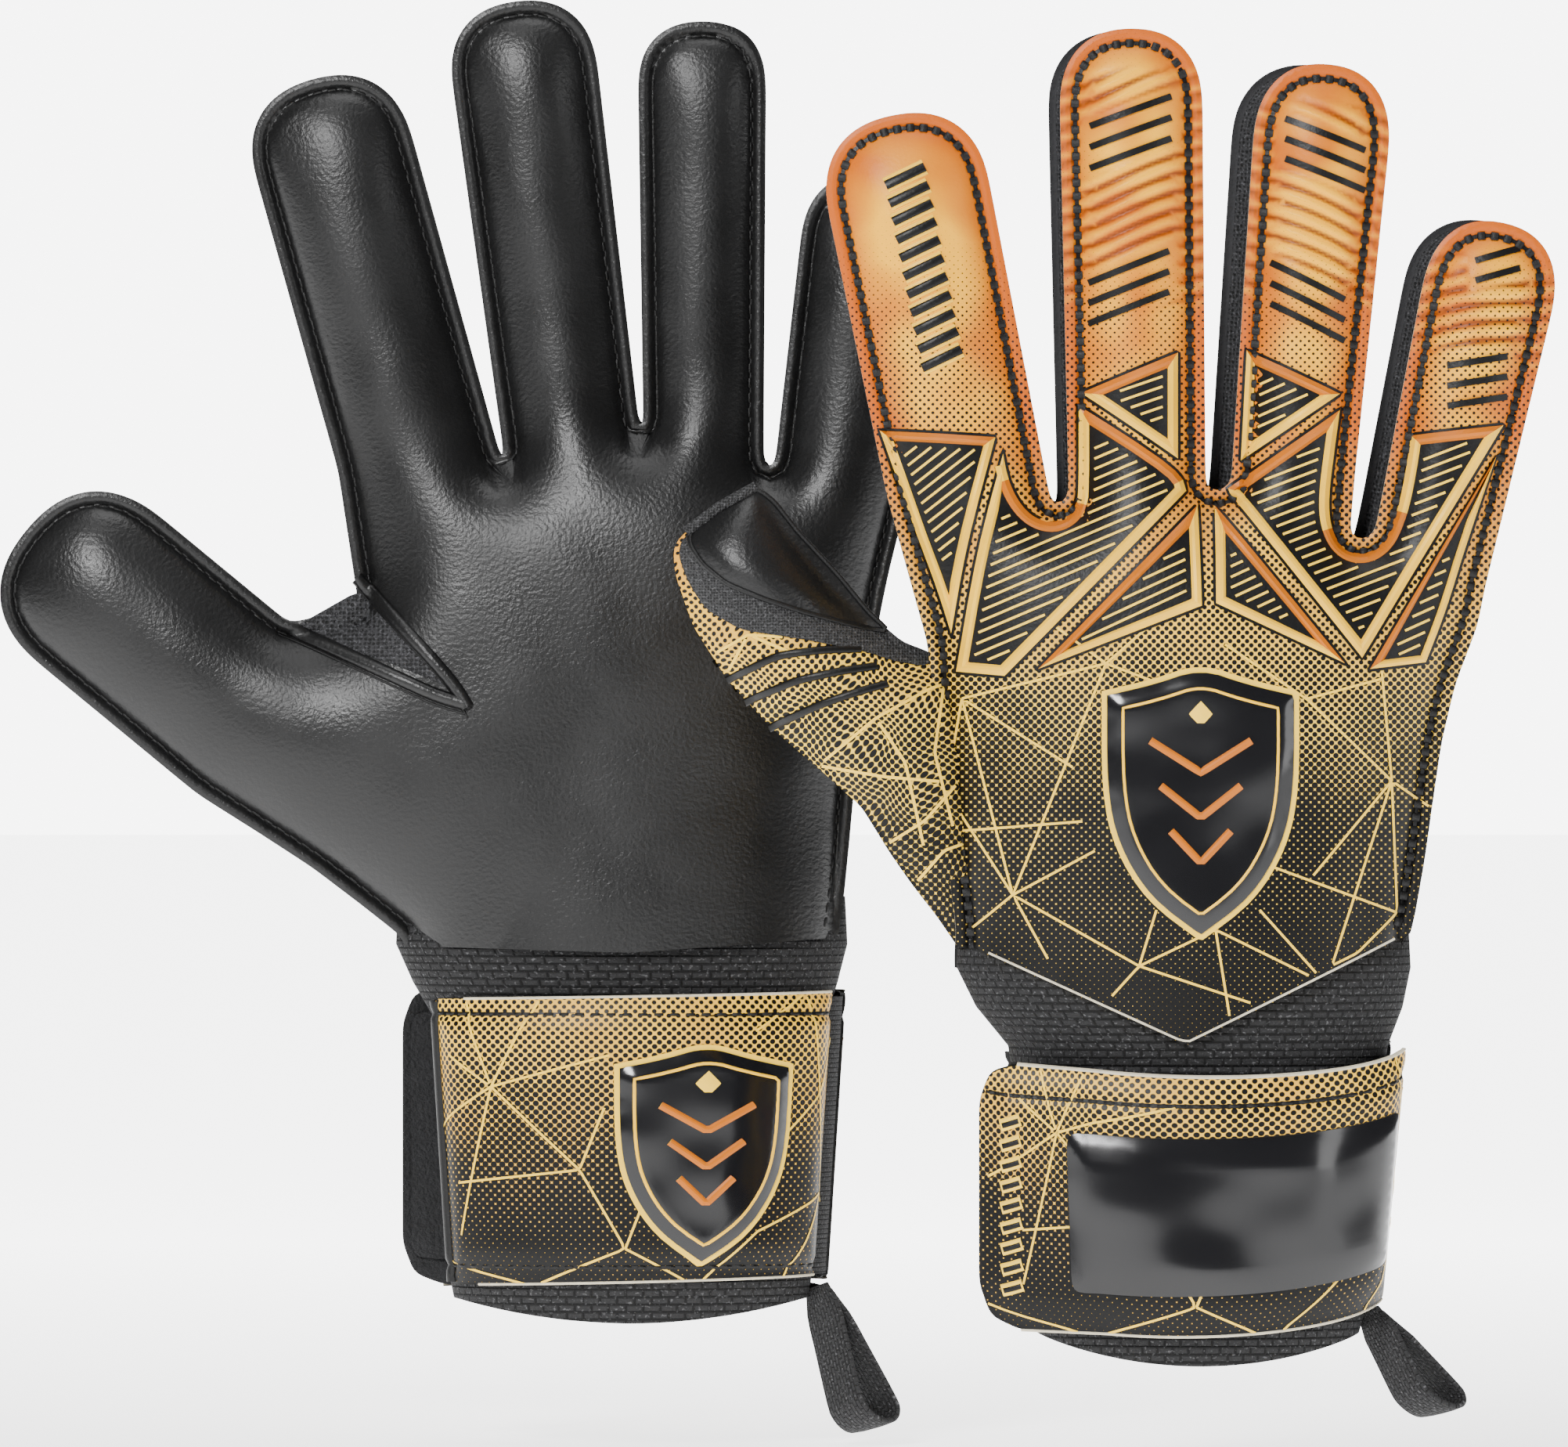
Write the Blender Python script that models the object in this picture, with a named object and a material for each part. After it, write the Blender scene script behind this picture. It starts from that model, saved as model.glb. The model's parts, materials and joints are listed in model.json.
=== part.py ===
"""A pair of goalkeeper gloves, sewn from latex foam, printed foam, mesh and elastic.

The gloves stand upright with their fingers up, +Z, and their middle planes parallel to XZ.
The left glove shows its palm to -Y and the right glove its back, so both thumbs point to -X.
The origin is the centre of the left glove's cuff opening. Sizes below are in millimetres.
"""
import math
from dataclasses import dataclass

import bmesh
import bpy
from mathutils import Vector

MM = 0.001
GAP = 0.4  # between sewn neighbours

# Digits, as padded sections: an edge height, a crown and two skins joined by a gusset.
DIGIT_HALF_DEPTH = 11.5
THUMB_HALF_DEPTH = 13.5
EDGE_HEIGHT = 5.5
SKIN_MIDDLE = 3.2
SKIN_EDGE = 1.5
GUSSET_WALL = 1.4
GUSSET_INSET = 1.2
GUSSET_HEIGHT = EDGE_HEIGHT - SKIN_EDGE - GAP
TIP_SQUARENESS = 2.6
TIP_ROUND = 0.52  # length of the rounded tip over the digit's width
TIP_END = 0.985  # the last row of a skin, as a part of the rounded tip
HINGE_RISE = 6.0  # from a digit's base to its knuckle line
DIGIT_START = 12.0  # from a digit's base to the first row of its skins
DIGIT_COLUMNS = 4
DIGIT_ROWS = 7
TIP_STEPS = 8

# Hand
HAND_EDGE_HEIGHT = 6.0
HAND_SKIN_MIDDLE = 3.6
HAND_SKIN_EDGE = 1.6
HAND_COLUMNS = 9
HAND_ROWS = 6
HAND_BOTTOM = 79.4
LAP_TOP = 95.0  # below this the backhand panel laps over the knit wrist
LAP_GAP = 1.3
BACK_TOP_RISE = 7.0  # the backhand panel reaches higher between the knuckles than the palm
PALM_DEPTHS = ((79, 19.0), (95, 20.0), (145, 20.0), (165, 15.0), (180, 12.0))
BACK_DEPTHS = ((58, 21.5), (95, 19.5), (145, 18.0), (165, 14.5), (185, 12.0))

# Wrist
CUFF_TOP = 58.0
KNIT_TOP = 79.0
KNIT_HALF_DEPTH = 18.0
CUFF_HALF_DEPTH = 20.0
CUFF_WALL = 2.4
LINING_WALL = 1.2
RING_SEGMENTS = 24
ARC_STEP = 360 / RING_SEGMENTS  # straps and patches bend where the cuff does, so gaps stay even

# Strap, built outwards from the cuff
STRAP_THICK = 2.8
PAD_THICK = 1.2
GRIP_THICK = 1.4
STRAP_BASE_ARC = (15.0, 165.0)  # degrees round the cuff, from the little-finger side over the palm
FLAP_ARC = (-15.0, -120.0)
LOOP_PATCH_ARC = (-75.0, -135.0)
GRIP_ARC = (-30.0, -105.0)
FLAP_END_STEPS = 2  # straight steps of the flap past its arc
HOOK_STEPS = 4

# Pull loop: webbing round a small and a large circle
LOOP_TOP_RADIUS = 2.4
LOOP_END_RADIUS = 5.6
LOOP_THICK = 1.6
LOOP_WIDTH = 12.0
LOOP_ARC_STEPS = 6


@dataclass(frozen=True)
class Digit:
    """A finger or thumb: the centres of its base and tip across and up the glove, and its widths."""

    name: str
    base: tuple
    tip: tuple
    base_width: float
    tip_width: float
    roll: float = 0.0  # degrees that the pad turns from the palm towards the little finger
    half_depth: float = DIGIT_HALF_DEPTH


@dataclass(frozen=True)
class Glove:
    """One glove: its place, which way its palm faces along Y, its digits and its outline."""

    side: str
    origin: tuple
    palm: int
    digits: tuple
    thumb_edge: tuple  # (up, across) points of the thumb side of the hand, and so on
    outer_edge: tuple
    knuckle_line: tuple  # (across, up) points
    back_hem: tuple
    cuff_half_widths: tuple  # at the bottom and at the top
    strap_span: tuple
    flap_end: tuple  # across and towards the palm
    loop_top: tuple
    loop_end: tuple


LEFT = Glove(
    side="left",
    origin=(0.0, 0.0, 0.0),
    palm=-1,
    digits=(
        Digit("index", (-43.7, 178.2), (-67.0, 262.0), 33.6, 34.0),
        Digit("middle", (-11.7, 180.0), (-24.2, 278.4), 28.6, 31.6),
        Digit("ring", (15.4, 181.5), (15.0, 274.2), 25.0, 27.6),
        Digit("little", (44.6, 176.6), (52.7, 242.2), 29.0, 31.0),
        Digit("thumb", (-78.5, 127.0), (-127.2, 167.1), 40.0, 40.0, 0.0, THUMB_HALF_DEPTH),
    ),
    thumb_edge=(
        (79, -45.0), (92.5, -61.0), (105.5, -81.0), (110, -88.0),
        (140.5, -64.0), (146, -57.0), (156, -56.3), (170, -60.0),
    ),
    outer_edge=((79, 43.4), (89, 45.2), (114, 47.0), (152, 52.7), (158, 54.0), (170, 58.0)),
    knuckle_line=(
        (-60.5, 170.0), (-43.7, 175.0), (-11.7, 176.5), (15.2, 178.0), (44.4, 173.4), (59.0, 170.0),
    ),
    back_hem=((-45.0, 88.0), (-1.0, 74.0), (43.0, 88.0)),
    cuff_half_widths=(37.3, 41.0),
    strap_span=(7.5, 71.0),
    flap_end=(-48.5, -11.0),
    loop_top=(41.8, 3.0),
    loop_end=(48.5, -17.5),
)
RIGHT = Glove(
    side="right",
    origin=(117.0, -90.0, -3.5),
    palm=1,
    digits=(
        Digit("index", (-46.5, 173.8), (-62.5, 254.2), 32.4, 34.0),
        Digit("middle", (-13.6, 175.4), (-15.1, 271.9), 30.0, 31.9),
        Digit("ring", (16.8, 175.4), (24.3, 264.8), 28.6, 33.6),
        Digit("little", (46.1, 165.8), (60.6, 232.6), 27.4, 32.7),
        Digit("thumb", (-75.8, 139.4), (-101.5, 177.0), 34.0, 34.0, 108.0, THUMB_HALF_DEPTH),
    ),
    thumb_edge=(
        (79, -46.0), (90.5, -53.5), (103.5, -63.0), (120, -77.0),
        (128.4, -86.0), (145.4, -62.0), (150, -55.6), (160, -57.0), (170, -61.0),
    ),
    outer_edge=((79, 41.0), (90.5, 44.5), (116, 47.6), (142, 51.0), (154.5, 55.3), (161, 59.0)),
    knuckle_line=(
        (-62.7, 167.5), (-46.5, 170.9), (-13.6, 172.4), (16.8, 172.4), (30.0, 168.0),
        (46.1, 162.9), (59.5, 160.0),
    ),
    back_hem=((-46.0, 84.0), (-3.0, 65.0), (41.0, 86.0)),
    cuff_half_widths=(33.0, 38.5),
    strap_span=(9.0, 63.0),
    flap_end=(-45.0, -10.0),
    loop_top=(37.8, 4.5),
    loop_end=(47.5, -7.0),
)

COLOURS = {
    "latex": ((0.018, 0.018, 0.019, 1.0), 0.42),
    "printed_foam": ((0.52, 0.26, 0.08, 1.0), 0.38),
    "printed_strap": ((0.50, 0.36, 0.14, 1.0), 0.45),
    "mesh": ((0.010, 0.010, 0.011, 1.0), 0.85),
    "knit": ((0.012, 0.012, 0.013, 1.0), 0.90),
    "fleece": ((0.014, 0.014, 0.015, 1.0), 0.95),
    "gloss": ((0.008, 0.008, 0.009, 1.0), 0.18),
    "webbing": ((0.013, 0.013, 0.014, 1.0), 0.80),
    "lining": ((0.030, 0.030, 0.032, 1.0), 0.92),
}


def lerp(a, b, t):
    """The value a part t of the way from a to b."""
    return a + (b - a) * t


def along(points, value):
    """The second number of a list of (first, second) points, read at a first number."""
    if value <= points[0][0]:
        return points[0][1]
    for (a, here), (b, there) in zip(points, points[1:]):
        if value <= b:
            return lerp(here, there, (value - a) / (b - a))
    return points[-1][1]


def clear_scene():
    """Remove what the scene holds, so that a second run gives the same model."""
    for old in list(bpy.data.objects):
        bpy.data.objects.remove(old, do_unlink=True)


def make_materials():
    """One Principled material for each kind of cloth or foam."""
    made = {}
    for name, (colour, roughness) in COLOURS.items():
        material = bpy.data.materials.new(name)
        material.use_nodes = True
        shader = material.node_tree.nodes["Principled BSDF"]
        shader.inputs["Base Color"].default_value = colour
        shader.inputs["Roughness"].default_value = roughness
        shader.inputs["Metallic"].default_value = 0.0
        made[name] = material
    return made


def glove_point(glove, across, up, palmward):
    """A place in metres, from its distances across, up and towards the palm of a glove."""
    x, y, z = glove.origin
    return Vector((x + across, y + glove.palm * palmward, z + up)) * MM


def make_pivot(name, place):
    """The empty that a moving body's pieces hang on, on the body's joint axis."""
    pivot = bpy.data.objects.new(name, None)
    pivot.empty_display_size = 0.01
    pivot.location = place
    bpy.context.scene.collection.objects.link(pivot)
    return pivot


def add_piece(name, bm, material, pivot=None):
    """Make an object of a closed mesh in world places, hung on its body's pivot."""
    bmesh.ops.recalc_face_normals(bm, faces=bm.faces)
    if bm.calc_volume(signed=True) < 0:
        bmesh.ops.reverse_faces(bm, faces=bm.faces)
    if pivot:
        bmesh.ops.translate(bm, vec=-pivot.location, verts=bm.verts)
    mesh = bpy.data.meshes.new(name)
    bm.to_mesh(mesh)
    bm.free()
    mesh.materials.append(material)
    mesh.shade_smooth()
    mesh.set_sharp_from_angle(angle=math.radians(38))
    piece = bpy.data.objects.new(name, mesh)
    piece.parent = pivot
    bpy.context.scene.collection.objects.link(piece)
    return piece


def plate(columns, rows, outer, inner):
    """A closed plate: outer(u, v) and inner(u, v) place its two faces over the unit square."""
    bm = bmesh.new()
    bmesh.ops.create_grid(bm, x_segments=columns, y_segments=rows, size=0.5)
    made = bmesh.ops.extrude_face_region(bm, geom=bm.faces[:])
    inside = {item for item in made["geom"] if isinstance(item, bmesh.types.BMVert)}
    for vert in bm.verts:
        u, v = vert.co.x + 0.5, vert.co.y + 0.5
        vert.co = inner(u, v) if vert in inside else outer(u, v)
    return bm


def ring(sections):
    """A closed band from a loop of four-cornered sections."""
    bm = bmesh.new()
    loops = [[bm.verts.new(corner) for corner in section] for section in sections]
    for here, there in zip(loops, loops[1:] + loops[:1]):
        for k in range(4):
            bm.faces.new((here[k], here[k - 1], there[k - 1], there[k]))
    return bm


# Digits ---------------------------------------------------------------------------------------


class DigitFrame:
    """A digit's own directions: along it, across it and out of its pad."""

    def __init__(self, glove, digit):
        start = glove_point(glove, *digit.base, 0.0)
        end = glove_point(glove, *digit.tip, 0.0)
        flat_pad = Vector((0.0, glove.palm, 0.0))
        self.digit = digit
        self.start = start
        self.length = (end - start).length / MM
        self.forward = (end - start).normalized()
        flat_side = Vector((self.forward.z, 0.0, -self.forward.x))
        turn = math.radians(digit.roll)
        self.pad = flat_pad * math.cos(turn) + flat_side * math.sin(turn)
        self.side = flat_side * math.cos(turn) - flat_pad * math.sin(turn)
        self.tip_round = TIP_ROUND * digit.tip_width

    def point(self, distance, offset, height):
        """A place in metres, a distance along the digit, beside its middle and above it."""
        where = self.forward * distance + self.side * offset + self.pad * height
        return self.start + where * MM

    def half_width(self, distance):
        """Half the digit's width, before its tip is rounded."""
        digit = self.digit
        return lerp(digit.base_width, digit.tip_width, min(distance / self.length, 1.0)) / 2

    def into_tip(self, distance):
        """How far into the rounded tip a distance reaches, from 0 to 1."""
        return max(0.0, (distance - self.length + self.tip_round) / self.tip_round)


def digit_skin(frame, face):
    """The skin on the pad side (face 1) or the back (face -1) of a digit."""
    crown = frame.digit.half_depth - EDGE_HEIGHT

    def layer(u, v, thickness_part):
        across = 2 * u - 1
        reach = frame.length - frame.tip_round * (1 - TIP_END)
        distance = lerp(DIGIT_START, reach, 1 - (1 - v) ** 1.5)
        tip = frame.into_tip(distance)
        narrowing = (1 - tip**TIP_SQUARENESS) ** (1 / TIP_SQUARENESS)
        offset = across * frame.half_width(distance) * narrowing
        height = EDGE_HEIGHT + crown * (1 - across**2) ** 0.7 * (1 - tip**3) ** 0.5
        thickness = lerp(SKIN_EDGE, SKIN_MIDDLE, (1 - across**2) * (1 - tip**3))
        return frame.point(distance, offset, face * (height - thickness * thickness_part))

    return plate(DIGIT_COLUMNS, DIGIT_ROWS, lambda u, v: layer(u, v, 0), lambda u, v: layer(u, v, 1))


def digit_edge(frame, inset):
    """The line round a digit, from its base over the tip and back, inset from its outline."""
    shoulder = frame.length - frame.tip_round
    sides = [lerp(DIGIT_START, shoulder, k / 2) for k in range(2)]
    line = [(distance, inset - frame.half_width(distance)) for distance in sides]
    for k in range(TIP_STEPS + 1):
        turn = math.pi * k / TIP_STEPS
        rise = math.sin(turn) ** (2 / TIP_SQUARENESS)
        swing = math.copysign(abs(math.cos(turn)) ** (2 / TIP_SQUARENESS), -math.cos(turn))
        half = frame.half_width(shoulder) - inset
        line.append((shoulder + (frame.tip_round - inset) * rise, half * swing))
    line += [(distance, -offset) for distance, offset in reversed(line[:2])]
    return line


def digit_gusset(frame):
    """The mesh strip round a digit between its two skins, open at the base."""
    outer_line = digit_edge(frame, GUSSET_INSET)
    inner_line = digit_edge(frame, GUSSET_INSET + GUSSET_WALL)
    steps = len(outer_line) - 1

    def wall(line):
        def place(u, v):
            distance, offset = line[round(u * steps)]
            return frame.point(distance, offset, lerp(-GUSSET_HEIGHT, GUSSET_HEIGHT, v))

        return place

    return plate(steps, 1, wall(outer_line), wall(inner_line))


def build_digit(glove, digit, materials):
    """The pad-side skin, back skin and gusset of one finger or thumb, on its knuckle."""
    frame = DigitFrame(glove, digit)
    name = f"{glove.side}_{digit.name}"
    pivot = make_pivot(f"{name}_knuckle", frame.point(HINGE_RISE, 0.0, 0.0))
    add_piece(f"{name}_palm_latex", digit_skin(frame, 1), materials["latex"], pivot)
    add_piece(f"{name}_back_foam", digit_skin(frame, -1), materials["printed_foam"], pivot)
    add_piece(f"{name}_gusset", digit_gusset(frame), materials["mesh"], pivot)


# Hand -----------------------------------------------------------------------------------------


def knit_surface(glove, across, up):
    """The outside of the knit wrist, measured from the glove's middle plane."""
    part = min(abs(across) / cuff_half_width(glove, up), 1.0)
    return KNIT_HALF_DEPTH * math.sqrt(1 - part**2)


def hand_skin(glove, face, depths, bottom_line, top_rise):
    """The palm sheet (face 1) or the backhand panel (face -1)."""

    def layer(u, v, thickness_part):
        low = along(bottom_line, 0.0)
        level = lerp(low, 172.0, v)
        side_a = along(glove.thumb_edge, level)
        side_b = along(glove.outer_edge, level)
        across = lerp(side_a, side_b, u)
        up = lerp(along(bottom_line, across), along(glove.knuckle_line, across) + top_rise, v)
        part = 2 * u - 1
        crown = along(depths, up) - HAND_EDGE_HEIGHT
        height = HAND_EDGE_HEIGHT + crown * (1 - abs(part) ** 2.4) ** 0.7
        thickness = lerp(HAND_SKIN_EDGE, HAND_SKIN_MIDDLE, 1 - part**2)
        inner = height - thickness
        if face < 0 and up < LAP_TOP:
            inner = max(inner, knit_surface(glove, across, up) + LAP_GAP)
        return glove_point(glove, across, up, face * (inner + thickness * (1 - thickness_part)))

    return plate(HAND_COLUMNS, HAND_ROWS, lambda u, v: layer(u, v, 0), lambda u, v: layer(u, v, 1))


def side_strip(glove, edge, inwards, low, high, steps):
    """A strip along one side of the hand, between the palm sheet and the backhand panel."""
    half_height = HAND_EDGE_HEIGHT - HAND_SKIN_EDGE - GAP

    def wall(inset):
        def place(u, v):
            up = lerp(low, high, u)
            across = along(edge, up) + inwards * inset
            return glove_point(glove, across, up, lerp(-half_height, half_height, v))

        return place

    return plate(steps, 1, wall(GUSSET_INSET), wall(GUSSET_INSET + GUSSET_WALL))


def build_hand(glove, materials, pivot):
    """The palm sheet, the backhand panel and the strips that join them."""
    name = glove.side
    hem = ((-90.0, HAND_BOTTOM), (60.0, HAND_BOTTOM))
    palm = hand_skin(glove, 1, PALM_DEPTHS, hem, 0.0)
    back = hand_skin(glove, -1, BACK_DEPTHS, glove.back_hem, BACK_TOP_RISE)
    thumb_base = max(up for up, across in glove.thumb_edge if across < -80)
    heel_top = min(up for up, across in glove.thumb_edge if across < -76)
    crotch = [up for up, across in glove.thumb_edge if up > thumb_base][0]
    outer_top = glove.outer_edge[-1][0] - 2
    strips = {
        "outer_side_gusset": (glove.outer_edge, -1, KNIT_TOP + 1, outer_top, 5),
        "heel_gusset": (glove.thumb_edge, 1, KNIT_TOP + 1, heel_top, 3),
        "thumb_crotch_gusset": (glove.thumb_edge, 1, crotch, 166.0, 5),
    }
    add_piece(f"{name}_palm_latex", palm, materials["latex"], pivot)
    add_piece(f"{name}_backhand_panel", back, materials["printed_foam"], pivot)
    for part, (edge, inwards, low, high, steps) in strips.items():
        strip = side_strip(glove, edge, inwards, low, high, steps)
        add_piece(f"{name}_{part}", strip, materials["mesh"], pivot)


# Wrist and strap ------------------------------------------------------------------------------


def cuff_half_width(glove, up):
    """Half the width of the elastic cuff at a height."""
    return lerp(*glove.cuff_half_widths, up / CUFF_TOP)


def cuff_point(glove, angle, up, outset, half_depth=CUFF_HALF_DEPTH):
    """A place round the cuff, an outset away from its surface. The palm side is at 90 degrees."""
    turn = math.radians(angle)
    across = (cuff_half_width(glove, up) + outset) * math.cos(turn)
    return glove_point(glove, across, up, (half_depth + outset) * math.sin(turn))


def wrist_tube(glove, low, high, outset, wall, half_depth):
    """An elliptical tube of the wrist, from one height to another."""
    sections = []
    for k in range(RING_SEGMENTS):
        angle = 360 * k / RING_SEGMENTS
        corners = ((low, outset), (high, outset), (high, outset - wall), (low, outset - wall))
        sections.append([cuff_point(glove, angle, up, out, half_depth) for up, out in corners])
    return ring(sections)


def arc_steps(arc):
    """How many of the cuff's own steps an arc takes."""
    return round(abs(arc[1] - arc[0]) / ARC_STEP)


def arc_plate(glove, arc, span, outset, thickness):
    """A strap or patch that follows the cuff round an arc."""

    def layer(depth):
        return lambda u, v: cuff_point(glove, lerp(*arc, u), lerp(*span, v), outset + depth)

    return plate(arc_steps(arc), 1, layer(thickness), layer(0.0))


def flap_line(glove, up, outset):
    """The strap flap's line round the little-finger side and over the back, to its free end."""
    steps = arc_steps(FLAP_ARC)
    curve = [cuff_point(glove, FLAP_ARC[0] - k * ARC_STEP, up, outset) for k in range(steps + 1)]
    across, palmward = glove.flap_end
    lift = outset - PAD_THICK - 3 * GAP
    end = glove_point(glove, across, up, palmward - lift)
    return curve + [curve[-1].lerp(end, 0.5), end]


def flap_plate(glove, span, outset, thickness, first, last, rounded):
    """The flap, or a patch on it, over some of the flap line's steps; rounded trims its end."""

    def layer(depth):
        def place(u, v):
            low, high = span
            if rounded and u == 1.0:
                low, high = low + rounded, high - rounded
            up = lerp(low, high, v)
            step = first + round(u * (last - first))
            return flap_line(glove, up, outset + depth)[step]

        return place

    return plate(last - first, 2, layer(thickness), layer(0.0))


def build_wrist(glove, materials, pivot):
    """The knit wrist, elastic cuff, lining, strap base and loop patch."""
    name = glove.side
    lining_outset = -CUFF_WALL - GAP
    knit = wrist_tube(glove, CUFF_TOP + GAP, KNIT_TOP, 0.0, CUFF_WALL, KNIT_HALF_DEPTH)
    cuff = wrist_tube(glove, 0.0, CUFF_TOP, 0.0, CUFF_WALL, CUFF_HALF_DEPTH)
    lining = wrist_tube(glove, 2.0, KNIT_TOP - 2, lining_outset, LINING_WALL, KNIT_HALF_DEPTH)
    low, high = glove.strap_span
    base = arc_plate(glove, STRAP_BASE_ARC, (low, high), GAP, STRAP_THICK)
    patch = arc_plate(glove, LOOP_PATCH_ARC, (low + 5, CUFF_TOP - 2), GAP, PAD_THICK)
    add_piece(f"{name}_wrist_knit", knit, materials["knit"], pivot)
    add_piece(f"{name}_elastic_cuff", cuff, materials["knit"], pivot)
    add_piece(f"{name}_cuff_lining", lining, materials["lining"], pivot)
    add_piece(f"{name}_strap_base", base, materials["printed_strap"], pivot)
    add_piece(f"{name}_loop_patch", patch, materials["fleece"], pivot)


def build_flap(glove, materials):
    """The strap flap with its hook patch inside and its grip panel outside."""
    name = glove.side
    low, high = glove.strap_span
    flap_outset = 2 * PAD_THICK + 3 * GAP
    hook_outset = PAD_THICK + 2 * GAP
    grip_outset = flap_outset + STRAP_THICK + GAP
    hinge = cuff_point(glove, 0.0, (low + high) / 2, flap_outset + STRAP_THICK / 2)
    pivot = make_pivot(f"{name}_strap_fold", hinge)
    last = arc_steps(FLAP_ARC) + FLAP_END_STEPS
    flap = flap_plate(glove, (low, high), flap_outset, STRAP_THICK, 0, last, 6.0)
    hook_span = (low + 4, high - 4)
    hook = flap_plate(glove, hook_span, hook_outset, PAD_THICK, last - HOOK_STEPS, last, 5.0)
    grip = arc_plate(glove, GRIP_ARC, (low + 7, high - 12), grip_outset, GRIP_THICK)
    add_piece(f"{name}_strap_flap", flap, materials["printed_strap"], pivot)
    add_piece(f"{name}_hook_patch", hook, materials["fleece"], pivot)
    add_piece(f"{name}_grip_panel", grip, materials["gloss"], pivot)


def belt(radius_a, radius_b, distance):
    """A belt line round a circle at 0 and a larger one a distance below, as (side, down) points."""
    lean = math.asin((radius_b - radius_a) / distance)
    line = []
    for radius, centre, start, sweep in (
        (radius_a, 0.0, lean, math.pi - 2 * lean),
        (radius_b, distance, math.pi - lean, math.pi + 2 * lean),
    ):
        for k in range(LOOP_ARC_STEPS + 1):
            turn = start + sweep * k / LOOP_ARC_STEPS
            line.append((radius * math.cos(turn), centre - radius * math.sin(turn)))
    return line


def build_pull_loop(glove, materials):
    """The webbing loop that hangs at the little-finger side of the cuff."""
    top = glove_point(glove, *glove.loop_top, 0.0)
    end = glove_point(glove, *glove.loop_end, 0.0)
    down = (end - top).normalized()
    side = Vector((-down.z, 0.0, down.x))
    distance = (end - top).length / MM
    half = LOOP_THICK / 2
    outer = belt(LOOP_TOP_RADIUS + half, LOOP_END_RADIUS + half, distance)
    inner = belt(LOOP_TOP_RADIUS - half, LOOP_END_RADIUS - half, distance)
    sections = []
    for out, inn in zip(outer, inner):
        corners = []
        for (across, drop), edge in ((out, -1), (out, 1), (inn, 1), (inn, -1)):
            offset = side * across + down * drop + Vector((0.0, edge * LOOP_WIDTH / 2, 0.0))
            corners.append(top + offset * MM)
        sections.append(corners)
    pivot = make_pivot(f"{glove.side}_loop_swing", top - down * (LOOP_TOP_RADIUS * MM))
    add_piece(f"{glove.side}_pull_loop", ring(sections), materials["webbing"], pivot)


def build_glove(glove, materials):
    """Every piece of one glove."""
    pivot = make_pivot(f"{glove.side}_wrist_opening", Vector(glove.origin) * MM)
    build_hand(glove, materials, pivot)
    build_wrist(glove, materials, pivot)
    build_flap(glove, materials)
    build_pull_loop(glove, materials)
    for digit in glove.digits:
        build_digit(glove, digit, materials)


def main():
    clear_scene()
    materials = make_materials()
    for glove in (LEFT, RIGHT):
        build_glove(glove, materials)


main()
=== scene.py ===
"""The looks of a pair of goalkeeper gloves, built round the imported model's frame.

Each glove is worked in its own flat plan, in millimetres: x across, z up the fingers, and p out of
the plan, towards the palm. A face is 1 for the palm side and -1 for the back of the hand.
"""
import json
import math

import bpy
import numpy as np
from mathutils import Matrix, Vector
from mathutils.geometry import delaunay_2d_cdt
from mathutils.kdtree import KDTree


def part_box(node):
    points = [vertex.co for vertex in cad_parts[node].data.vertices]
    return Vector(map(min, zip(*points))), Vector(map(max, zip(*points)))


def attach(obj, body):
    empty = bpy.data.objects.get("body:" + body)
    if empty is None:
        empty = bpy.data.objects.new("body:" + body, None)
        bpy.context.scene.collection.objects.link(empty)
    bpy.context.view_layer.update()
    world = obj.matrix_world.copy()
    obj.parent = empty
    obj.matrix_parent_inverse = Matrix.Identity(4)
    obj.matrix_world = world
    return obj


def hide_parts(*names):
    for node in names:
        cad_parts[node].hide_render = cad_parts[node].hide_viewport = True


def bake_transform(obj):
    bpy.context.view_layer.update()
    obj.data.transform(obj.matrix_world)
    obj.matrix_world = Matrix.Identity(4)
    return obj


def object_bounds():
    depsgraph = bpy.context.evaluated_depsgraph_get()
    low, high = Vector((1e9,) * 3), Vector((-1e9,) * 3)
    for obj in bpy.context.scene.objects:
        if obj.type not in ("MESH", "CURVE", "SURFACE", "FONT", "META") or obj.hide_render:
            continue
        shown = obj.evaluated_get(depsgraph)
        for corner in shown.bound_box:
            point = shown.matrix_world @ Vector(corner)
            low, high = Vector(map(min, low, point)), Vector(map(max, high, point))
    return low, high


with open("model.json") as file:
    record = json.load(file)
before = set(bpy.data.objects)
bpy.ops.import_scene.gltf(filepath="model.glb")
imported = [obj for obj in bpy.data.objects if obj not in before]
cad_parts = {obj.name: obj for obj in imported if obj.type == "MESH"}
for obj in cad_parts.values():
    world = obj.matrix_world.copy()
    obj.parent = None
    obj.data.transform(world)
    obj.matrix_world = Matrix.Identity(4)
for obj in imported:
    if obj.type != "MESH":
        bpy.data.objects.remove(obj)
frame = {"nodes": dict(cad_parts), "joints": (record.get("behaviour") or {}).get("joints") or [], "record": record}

CAD_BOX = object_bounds()
MM = 0.001
DIGIT_NAMES = ("thumb", "index", "middle", "ring", "little")

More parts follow.
